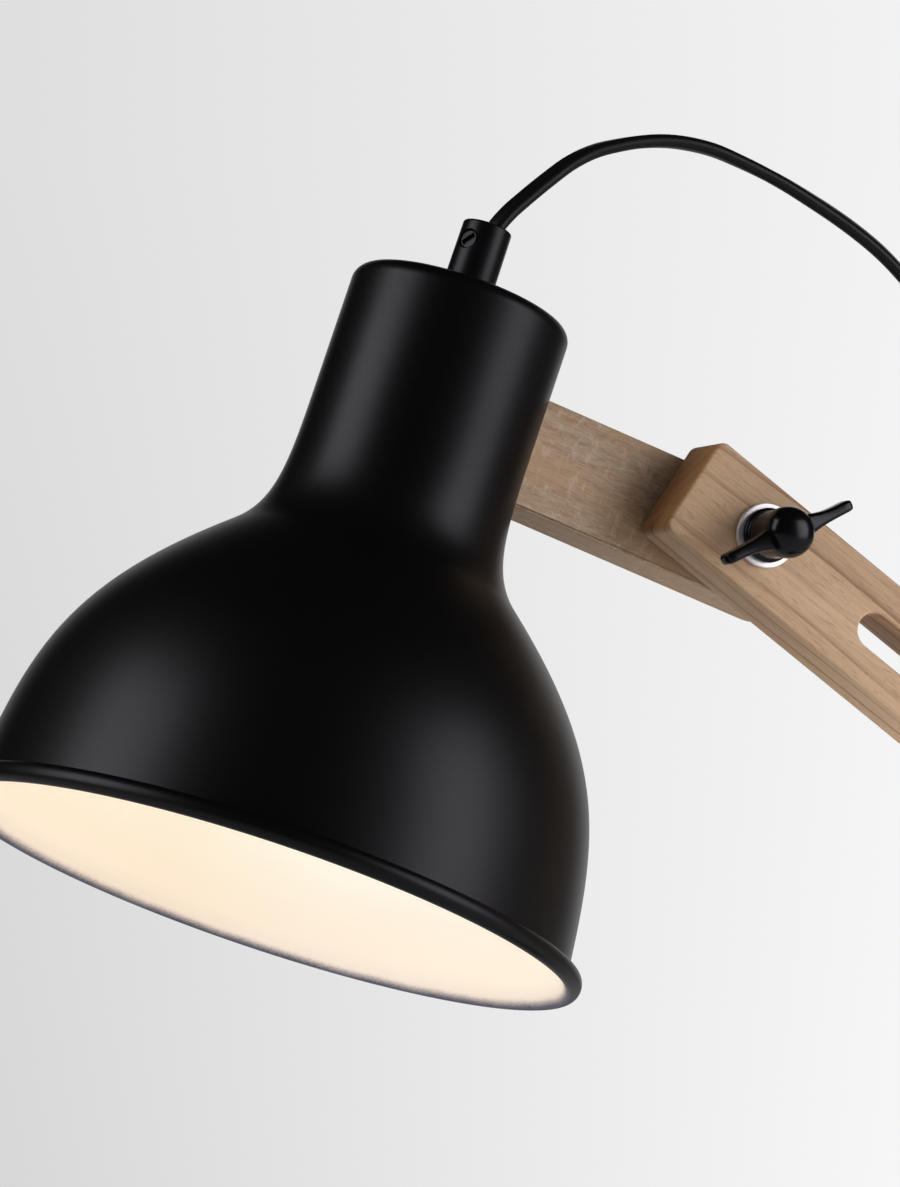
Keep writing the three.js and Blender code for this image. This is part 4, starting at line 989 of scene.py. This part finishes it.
# Each clamp: its bolt's place, how far back the wood reaches, and the bodies of the bolt and of the washers.
clamps = {"upper": (upper_pivot, shade_y + 9, "head", "arm"), "lower": (clamp, post_half, "base", "lower_clamp")}
for which, (point, *_) in clamps.items():
    name = which + "_black_wing_nut"
    place = Matrix.Translation((point.x, nut_seat * mm, point.z)) @ spun(wing_turn, "Y") @ stand_up
    parts = [turned(name + "_body", nut_outline, place, nut_black, 96, 50)]
    for side in (1, -1):
        parts.append(skinned(name + "_wing", wing_rings(side), nut_black, 60))
        parts[-1].data.transform(place)
    stands_for(joined(name, *parts), which + "_wing_nut", "black_plastic", which + "_wing_nut")
print("wing nut reaches", wing_rings(1)[-1][0].x, "m each way")

# %% Make the washers and bolts
bolt_radius, bolt_head = 3, 8
front, front_end = -slotted_front + fit, -slotted_front + fit + washer_thickness
between_start, between_end = post_half + fit, -slotted_back - fit
bright_outline = [
    (bolt_hole, front), (washer_radius, front, 0.25), (washer_radius, front_end, 0.35), (bolt_hole, front_end, 0.2),
]
thin_outline = [
    (bolt_hole, between_start), (washer_radius, between_start),
    (washer_radius, between_end), (bolt_hole, between_end),
]
for which, (point, back, bolt_body, washer_body) in clamps.items():
    place = Matrix.Translation((point.x, 0, point.z)) @ stand_up
    turned(
        which + "_bright_washer", bright_outline, place, chrome,
        stands=(washer_body, "bright_washer", which + "_front_washer"),
    )
    turned(
        which + "_thin_fibre_washer", thin_outline, place, fibre, 64,
        stands=(washer_body, "fibre", which + "_friction_washer"),
    )
    seat, end = -back - fit, -nut_seat + 12.6
    turned(
        which + "_coach_bolt",
        [(0, end), (bolt_radius, end, 0.4), (bolt_radius, seat), (bolt_head, seat, 0.2),
         *[(r, seat - h) for r, h in dome(bolt_head, 0.5, 3.4, 2.1)]],
        place, zinc, 64, stands=(bolt_body, "steel", which + "_bolt"),
    )
print("washers:", washer_radius * 2, "mm wide")

# %% [markdown]
# ## Screws
# Several kinds of small screws would be as many chores. One Geometry Nodes tree makes a round-headed screw from
# named sizes: a shank, a head and a cross recess cut by a Boolean. It is instanced on the points that it is
# given, realised, and turned into a plain mesh.


# %% Build the screw tree
def screw_tree():
    sizes = dict.fromkeys(("Head radius", "Head height", "Shank radius", "Length", "Cone"), "Float")
    graph, given, end = mesh_tree("Cross-head screw", {"Points": "Geometry", **sizes})

    def times(size, factor):
        return graph.calc("MULTIPLY", given[size], factor)

    def cone(count, bottom, top, depth):
        feeds = {"Vertices": count, "Radius Bottom": bottom, "Radius Top": top, "Depth": given[depth]}
        return graph.add("GeometryNodeMeshCone", feeds).outputs["Mesh"]

    def lifted(mesh, height):
        offset = graph.add("ShaderNodeCombineXYZ", {"Z": height}).outputs["Vector"]
        return graph.add("GeometryNodeTransform", {"Geometry": mesh, "Translation": offset}).outputs["Geometry"]

    head = cone(32, given["Head radius"], times("Head radius", given["Cone"]), "Head height")
    shank = cone(24, times("Shank radius", 0.15), given["Shank radius"], "Length")
    union = graph.add("GeometryNodeMeshBoolean", operation="UNION")
    for mesh in (head, lifted(shank, times("Length", -0.98))):
        graph.feed(union, "Mesh 2", mesh)
    recess = graph.add("GeometryNodeMeshBoolean", {"Mesh 1": union.outputs["Mesh"]}, operation="DIFFERENCE")
    for long_way, short_way in ("XY", "YX"):
        feeds = {long_way: times("Head radius", 1.05), short_way: times("Head radius", 0.24)}
        size = graph.add("ShaderNodeCombineXYZ", {**feeds, "Z": times("Head height", 1.3)}).outputs["Vector"]
        slot = graph.add("GeometryNodeMeshCube", {"Size": size}).outputs["Mesh"]
        graph.feed(recess, "Mesh 2", lifted(slot, times("Head height", 1.0)))
    feeds = {"Points": given["Points"], "Instance": recess.outputs["Mesh"]}
    return end(graph.add("GeometryNodeInstanceOnPoints", feeds).outputs["Instances"])


screw_maker = screw_tree()


def grown_piece(name, tree, points, place, finish, **sizes):
    """A piece that a tree makes from those points, then set in place."""
    mesh = bpy.data.meshes.new(name)
    mesh.from_pydata(points, [], [])
    made = grown(name, tree, mesh, Finish=finish, **sizes)
    made.transform(place)
    return new_piece(name, faced_outwards(made, 1e-7), finish, 30)


def screw(name, place, body, node, head_radius, head_height, shank_radius, length):
    """A screw along local Z, head outwards."""
    sizes = {"Head_radius": head_radius, "Head_height": head_height, "Shank_radius": shank_radius, "Length": length}
    sizes = {size: value * mm for size, value in sizes.items()}
    piece = grown_piece(name, screw_maker, [(0, 0, 0)], place, zinc, Cone=0.72, **sizes)
    stands_for(piece, body, "steel", node)


print("screw tree inputs:", [item.name for item in screw_maker.interface.items_tree if item.in_out == "INPUT"])

# %% [markdown]
# ## Cord clips
# Three black saddle clips hold the cord: one behind the slotted arm, two on the post. Each is a strap bent over
# the cord with a foot that takes one screw. The strap's outline is drawn once and given its width.

# %% Make the clips and their screws
clip_inner, clip_wall, clip_foot, clip_length = 2.65, 1.2, 9, 8
clip_outer, clip_lift, clip_top = clip_inner + clip_wall, fit + clip_inner, fit + clip_wall
clip_outline = [
    (clip_outer + clip_foot, fit), (clip_outer + clip_foot, clip_top), (clip_outer + 0.8, clip_top),
    *arc(0, clip_lift, clip_outer, 0, 180, 24), (-clip_outer, fit), (-clip_inner, fit),
    *arc(0, clip_lift, clip_inner, 180, 0, 24), (clip_inner, fit),
]
clip_places = {
    "arm_cord_clip": (arm_place @ moved(112, slotted_back, 1) @ spun(142, "Y"), "arm"),
    "post_cord_clip_upper": (moved(-post_half, 0, 185) @ spun(90, "Z"), "base"),
    "post_cord_clip_lower": (moved(-post_half, 0, 50) @ spun(90, "Z"), "base"),
}
for node, (place, body) in clip_places.items():
    strap = node.replace("cord_clip", "saddle_clip")
    role = (body, "black_plastic", node)
    plate(strap, [clip_outline], clip_length, 0.3, place, moulded_black, 40, stands=role)
    screw_place = place @ moved(clip_outer + clip_foot / 2, clip_top + fit + 0.8, 0) @ spun(-90, "X")
    screw(node.replace("cord_clip", "clip_cross_screw"), screw_place, body, node + "_screw", 2.6, 1.6, 1.4, 11)
print("clips:", list(clip_places))

# %% [markdown]
# ## Lampholder and bulb
# Inside the neck hangs a black screw lampholder on its threaded tube, and a lit bulb sits in it. From below they
# are in plain view, so the holder gets its grip ribs and the bulb its rolled thread. The ribs are instances on
# a circle in Geometry Nodes: one small bar, repeated and turned to face out.

# %% Turn the lampholder
holder_top = -shade_wall - fit - 3 - fit
body_top = holder_top - 21 - fit
body_depth, rib_count = 34.7, 36


def under(height):
    """A place on the shade's axis, at that height from the neck's top."""
    return shade_place @ moved(0, 0, height)


turned(
    "lampholder_cap_turned",
    [(5.3, 0), (10, 0, 1), (17, -3.57, 4), (20, -10.1, 4), (20, -21, 0.5), (18.2, -21), (18.2, -12.1, 3),
     (15.2, -5.6, 3), (5.3, -2)],
    under(holder_top), moulded_black, stands=("head", "black_plastic", "lampholder_cap"),
)
holder_outline = [
    (0, -3.2), (18.2, -3.2), (18.2, 0), (20, 0, 0.5), (20, -6, 0.4), (19.4, -6.8, 0.4), (19, 4 - body_depth, 0.4),
    (19.4, 3 - body_depth, 0.5), (19.4, -body_depth, 0.8), (14.6, -body_depth, 0.6), (14.6, -5.7), (0, -5.7),
]


# %% Build the rib tree and add the ribs
def rib_tree():
    sizes = dict.fromkeys(("Radius", "Width", "Proud", "Height"), "Float")
    graph, given, end = mesh_tree("Ribs round an axis", {"Start": "Geometry", "Count": "Int", **sizes})
    ring = graph.add("GeometryNodeMeshCircle", {"Vertices": given["Count"], "Radius": given["Radius"]})
    size = graph.add("ShaderNodeCombineXYZ", {"X": given["Proud"], "Y": given["Width"], "Z": given["Height"]})
    rib = graph.add("GeometryNodeMeshCube", {"Size": size.outputs["Vector"]})
    here = graph.add("GeometryNodeInputPosition").outputs["Position"]
    facing = graph.add("FunctionNodeAlignEulerToVector", {"Vector": here}, axis="X", pivot_axis="Z")
    feeds = {"Points": ring.outputs["Mesh"], "Instance": rib.outputs["Mesh"], "Rotation": facing.outputs["Rotation"]}
    return end(graph.add("GeometryNodeInstanceOnPoints", feeds).outputs["Instances"])


rib_place = under(body_top + (4 - 7 - body_depth) / 2)
holder_ribs = grown_piece(
    "lampholder_ribs", rib_tree(), [], rib_place, moulded_black,
    Count=rib_count, Radius=19.2 * mm, Width=1.1 * mm, Proud=1.2 * mm, Height=22 * mm,
)
holder_body = turned("lampholder_body_turned", holder_outline, under(body_top), moulded_black)
holder_body = joined("lampholder_body_ribbed", holder_body, holder_ribs)
stands_for(holder_body, "head", "black_plastic", "lampholder_body")
print("lampholder ribs:", rib_count)

# %% Turn the thread shell, the contact and the bulb
contact_top = body_top - 3.2 - 2.5 - fit
shell_outer, shell_depth = 14.3, 25


def waved(radius, depth, high, low, waves, steps=6):
    """Points down a rolled thread: a sine wave on a cylinder."""
    count = waves * steps
    return [
        (radius - depth * (0.5 - 0.5 * math.cos(2 * math.pi * k / steps)), high + (low - high) * k / count)
        for k in range(count + 1)
    ]


shell_outside, shell_inside = (waved(shell_outer - wall, 0.15, 0, -shell_depth, 7) for wall in (0, 0.5))
turned(
    "brass_thread_shell", [*shell_outside, *reversed(shell_inside)], under(contact_top), brass, 72,
    stands=("head", "brass", "lampholder_shell"),
)
turned(
    "brass_centre_contact", [(0, 0), (4, 0), (4, -1, 0.3), (0, -1)], under(contact_top), brass, 48,
    stands=("head", "brass", "lampholder_contact"),
)

bulb_top, cap_depth = contact_top - 1.3, 26.4
turned(
    "bulb_screw_cap",
    [(0, 0), (4.6, 0, 0.5), (7.9, -1.6, 0.5), (12.6, -4.2, 0.4), *waved(13.2, 0.9, -4.8, 3 - cap_depth, 5, 8),
     (13.2, -cap_depth, 0.3), (11.5, -cap_depth), (11.5, -6.6), (0, -6.6)],
    under(bulb_top), nickel, stands=("bulb", "bulb_metal", "bulb_cap"),
)
bulb_radius, bulb_length, bulb_neck, glass_wall = 30, 79, 11.2, 1
bulb_shares = [
    (0.3733, 0), (0.42, 0.05), (0.57, 0.18), (0.8, 0.33), (0.95, 0.47), (1, 0.62), (0.93, 0.76), (0.73, 0.89),
    (0.4, 0.97), (0.0, 1.0),
]
bulb_curve = smooth_route([[r * bulb_radius, 0, -h * bulb_length] for r, h in bulb_shares], 1.6)
outer_glass = [*[(max(p[0], 0.0), p[2]) for p in bulb_curve[:-1]], (0, -bulb_length)]
inner_tip = glass_wall - bulb_length
inner_glass = [(max(r - glass_wall, 0.2), max(h, inner_tip)) for r, h in reversed(outer_glass[1:-1])]
turned(
    "lit_bulb_glass",
    [(0, inner_tip), *inner_glass, (bulb_neck - glass_wall, 12), (bulb_neck, 12), *outer_glass],
    under(bulb_top - cap_depth), frosted.material, 96, 60, ("bulb", "bulb_glass", "bulb_glass"),
)
print("bulb tip", round(under(bulb_top - cap_depth - bulb_length).translation.z, 4), "m high")

# %% Finish the small steel pieces
for node in ("neck_saddle", "shade_nipple", "nipple_nut", "post_screw_left", "post_screw_right"):
    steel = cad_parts[node].data.materials
    steel.clear()
    steel.append(zinc)
saddle_thickness, screw_sink = 2, 1.8
neck_seat = neck_radius - shade_wall - fit - saddle_thickness - screw_sink
for which, rise in (("lower", -8), ("upper", 8)):
    neck_place = head_place @ moved(neck_seat - shade_reach, shade_y, rise) @ spun(-90, "Y")
    screw("neck_cross_screw_" + which, neck_place, "head", "neck_screw_" + which, 3.8, 2.4, 2, 38)
print("neck screws at", [round(x, 4) for x in neck_place.translation])

# %% [markdown]
# ## Base and pad
# A heavy turned steel disc with an eased rim takes the same satin paint as the shade. Under it lies a thin foam
# pad, a little smaller, so that the base seems to float.

# %% Make the base
base_radius, base_bottom, base_top = 100, 3.3, 13.3
turned(
    "round_steel_base",
    [(0, base_bottom), (base_radius, base_bottom, 1.2), (base_radius, base_top, 2.2), (0, base_top)],
    Matrix.Identity(4), satin_paint, 192, stands=("base", "black_paint", "base_plate"),
)
turned(
    "foam_base_pad", [(0, 0), (96, 0, 0.6), (96, 3, 0.5), (0, 3)], Matrix.Identity(4), foam_black, 128,
    stands=("base", "pad", "base_pad"),
)
print("base:", 2 * base_radius, "mm wide")

# %% [markdown]
# ## Switch on the lead
# The switch is two moulded shells with a rocker between them. The parting line is a real gap, the window is a
# hole in the upper shell, and a tapered sleeve with relief rings guards the cord at each end.

# %% Make the switch
switch_place = moved(-199, 146, 0)
switch_outline = rounded_box(-31, -12.5, 31, 12.5, 6)
window = rounded_box(-10.8, -6, 10.8, 6, 0.8)
lower_shell = plate(
    "switch_shell_low", [switch_outline], 8.5, 1.6, switch_place @ moved(0, 0, 4.6), moulded_black,
    stands=("base", "black_plastic", "switch_lower_shell"),
)
upper_shell = plate(
    "switch_shell_top", [switch_outline, window], 8.8, 0.9, switch_place @ moved(0, 0, 13.6), moulded_black,
    stands=("base", "black_plastic", "switch_upper_shell"),
)
rocker_outline = [
    (-5.1, -3), (5.1, -3), (10.2, 0), (10.2, 5.3), (6, 4.55), (3, 4.15), (0, 4.0), (-3, 4.15), (-6, 4.55),
    (-10.2, 5.3), (-10.2, 0),
]
rocker = plate(
    "switch_rocker_key", [rocker_outline], 11.4, 0.35, switch_place @ moved(0, 0, 15) @ spun(-8, "Y") @ stand_up,
    nut_black, 30, stands=("rocker", "black_plastic", "switch_rocker"),
)
print("switch shells:", len(lower_shell.data.polygons), "and", len(upper_shell.data.polygons), "faces")

# %% Make the relief sleeves
sleeve_bore, sleeve_end = 1.9, 22
sleeve_outline = [(sleeve_bore, 0.3), (5.2, 0.3, 0.5)]
for ring in range(6):
    here, radius = 4.2 + ring * 3.0, 5.0 - ring * 0.3
    sleeve_outline += [
        (radius, here - 1.3, 0.3), (radius - 0.7, here - 0.9, 0.2), (radius - 0.75, here, 0.2),
        (radius - 0.1, here + 0.4, 0.3),
    ]
sleeve_outline += [(3.3, sleeve_end, 0.5), (sleeve_bore, sleeve_end)]
sleeves = {
    "switch_sleeve_in": (-168, 146, 9, 1), "switch_sleeve_out": (-230, 146, 9, -1), "plug_sleeve": (66, 190, 7.1, -1),
}
for node, (x, y, z, way) in sleeves.items():
    name, place = node.replace("sleeve", "relief_sleeve"), moved(x, y, z) @ spun(90 * way, "Y")
    turned(name, sleeve_outline, place, moulded_black, 48, stands=("base", "cord_black", node))
print("relief sleeves:", len(sleeves))

# %% [markdown]
# ## Plug
# A slim moulded plug with two round pins lies at the end of the lead. The body is a plate with well-rounded
# edges and a waist to grip, the pins are turned with rounded tips and black insulating collars.

# %% Make the plug
plug_place, pin_start = moved(66, 190, 7.1), 37
plug_outline = eased([
    (0, -10.9, 3), (26.6, -17.6, 4), (pin_start, -17.6, 2), (pin_start, 17.6, 2), (26.6, 17.6, 4), (0, 10.9, 3),
])
plug_body = plate(
    "plug_moulding", [plug_outline], 13.5, 3.0, plug_place, moulded_black, 35, 5,
    stands=("base", "black_plastic", "plug_body"),
)
for node, side in (("plug_pin_front", -9.3), ("plug_pin_back", 9.3)):
    place = plug_place @ moved(pin_start, side, 0) @ spun(90, "Y")
    pin = turned(node + "_turned", [(0, -6), (2, -6), (2, 19, 1.2), (0, 19)], place, brass, 48)
    collar_outline = [(0, -5), (2.06, -5), (2.06, 9.5, 0.1), (0, 9.5)]
    collar = turned(node + "_collar", collar_outline, place, moulded_black, 48)
    stands_for(joined(node + "_with_collar", pin, collar), "base", "brass", node)
print("plug at", tuple(round(x, 3) for x in plug_place.translation))

# %% [markdown]
# ## Tie round the coil
# A flat black strap closes round the bundle of the coil. It is a skin over rings, like the cord, whose route is the
# rounded outline of the bundle.

# %% Make the tie
tie_middle = Vector((-22, 175, 1.4 + 5.7))
tie_loop = rounded_box(-6.85, -6.4, 6.85, 6.4, 2.4, 5)
tie_profile = rounded_box(-3, -0.4, 3, 0.4, 0.3, 2)
tie_rings = []
for i, (x, z) in enumerate(tie_loop):
    way = (Vector(tie_loop[(i + 1) % len(tie_loop)]) - Vector(tie_loop[i - 1])).normalized()
    outward, middle = Vector((way.y, 0, -way.x)), tie_middle + Vector((x, 0, z))
    tie_rings.append([(middle + outward * b + Vector((0, a, 0))) * mm for a, b in tie_profile])
tie = skinned("coil_strap", tie_rings, moulded_black, 40, looped=True)
stands_for(tie, "base", "cord_black", "cord_tie")
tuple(lead_rows[0][:3])
route_length(lead_rows)
print("tie rings:", len(tie_rings))

# %% [markdown]
# ## Floor and background
# The photograph was taken against a pale, evenly lit wall. The world gives that wall to the camera, a little
# brighter to the right. Mirrored in the black paint it is bright behind the lamp and dark in front. Diffuse
# surfaces get a plain, even level. The floor is evened out for the camera in the same way and keeps its shadow.

# %% Lay the floor
pale_grey = (0.80, 0.80, 0.81)
floor_mesh = bpy.data.meshes.new("floor")
floor_mesh.from_pydata([(-4, -4, 0), (4, -4, 0), (4, 4, 0), (-4, 4, 0)], [], [(0, 1, 2, 3)])
pale = Finish("pale floor", pale_grey, 0.7)
pale.set("Base Color", pale.mix(pale.noise(pale.own(), 3.0), (0.78, 0.78, 0.79), (0.82, 0.82, 0.83)))
even_level = pale.add("ShaderNodeEmission", {"Color": pale_grey}).outputs["Emission"]
floor_rays = pale.add("ShaderNodeLightPath").outputs
seen_ray = pale.calc("MAXIMUM", floor_rays["Is Camera Ray"], floor_rays["Is Transmission Ray"])
floor_feeds = {0: pale.calc("MULTIPLY", seen_ray, 0.6), 1: pale.shader.outputs["BSDF"], 2: even_level}
floor_mix = pale.add("ShaderNodeMixShader", floor_feeds).outputs["Shader"]
pale.feed(pale.tree.nodes["Material Output"], "Surface", floor_mix)
floor = new_piece("floor", floor_mesh, pale.material)
print("floor:", [round(d, 1) for d in floor.dimensions], "m")

# %% Set the world
world = bpy.data.worlds.new("studio")
bpy.context.scene.world = world
world.use_nodes = True
world.node_tree.nodes.clear()
studio = Graph(world.node_tree)
direction = studio.add("ShaderNodeTexCoord").outputs["Generated"]


def towards(axis, low, high, from_low, from_high):
    """A value that runs from low to high as the direction turns towards the axis."""
    dot = studio.add("ShaderNodeVectorMath", {0: direction, 1: axis}, operation="DOT_PRODUCT")
    return studio.span(dot.outputs["Value"], low, high, from_low, from_high)


camera_right, camera_up = Vector((0.91081, -0.41285, 0)), Vector((-0.02764, -0.06097, 0.99777))
darker_left, lower = towards(camera_right, -0.062, 0.05, -0.06, 0.06), towards(camera_up, 1.0, 0.0, -0.07, 0.05)
seen = studio.calc(
    "ADD", towards(camera_right, 0.72, 0.885, -0.06, 0.05), studio.calc("MULTIPLY", darker_left, lower),
)
behind_lamp = (view_direction.normalized() + 0.10 * camera_right).normalized()
mirrored = towards(behind_lamp, 0.012, 0.95, 0.85, 0.955)
seen, mirrored, even = (
    studio.add("ShaderNodeBackground", {"Color": (1, 1, 1), "Strength": level}).outputs["Background"]
    for level in (seen, mirrored, 0.27)
)
rays = studio.add("ShaderNodeLightPath").outputs
glossy_mix = studio.add("ShaderNodeMixShader", {0: rays["Is Glossy Ray"], 1: even, 2: mirrored}).outputs["Shader"]
direct = studio.calc("MAXIMUM", rays["Is Camera Ray"], rays["Is Transmission Ray"])
camera_mix = studio.add("ShaderNodeMixShader", {0: direct, 1: glossy_mix, 2: seen}).outputs["Shader"]
studio.add("ShaderNodeOutputWorld", {"Surface": camera_mix})
print("world:", world.name, "with", len(world.node_tree.nodes), "nodes")

# %% [markdown]
# ## Lights
# Two large soft panels left and right of the camera draw the broad bands of light on the neck. A weak one low at
# the right and a small one under the head lift the shadows on the bell and on the wood's underside.

# %% Light the scene
head_middle = Vector((-0.25, -0.006, 0.42))
to_camera = (camera.location - head_middle).normalized()
level_view = Vector((to_camera.x, to_camera.y, 0)).normalized()


def panel(name, side, height, distance, width, tall, power, colour=(1, 1, 1), spread=180, hidden=False):
    """A soft light at an angle to the camera's side of the head, aimed at the head."""
    way = level_view * math.cos(side * degree) + camera_right * math.sin(side * degree)
    data = bpy.data.lights.new(name, "AREA")
    data.shape, data.size, data.size_y, data.energy, data.color = "RECTANGLE", width, tall, power, colour
    data.spread = spread * degree
    light = placed(name, data)
    light.location = head_middle + way * distance + Vector((0, 0, height))
    light.visible_glossy = not hidden
    aim(light, head_middle)
    return light


def aim(light, point):
    light.rotation_euler = (point - light.location).to_track_quat("-Z", "Y").to_euler()


panel("left_panel", -70, 1.05, 1.9, 1.4, 1.5, 32)
panel("right_panel", 70, 0.34, 2.0, 1.2, 1.4, 9.5, (0.98, 0.99, 1.0), 110)
panel("low_fill", 74, -0.11, 0.9, 1.0, 0.5, 2.35, (0.92, 0.96, 1.0), 110, True)
under_fill = panel("under_fill", 0, 0, 0.3, 0.16, 0.16, 0.30, (0.88, 0.95, 1.0), hidden=True)
under_fill.location = (-0.07, -0.03, 0.285)
aim(under_fill, Vector((-0.15, -0.01, 0.44)))
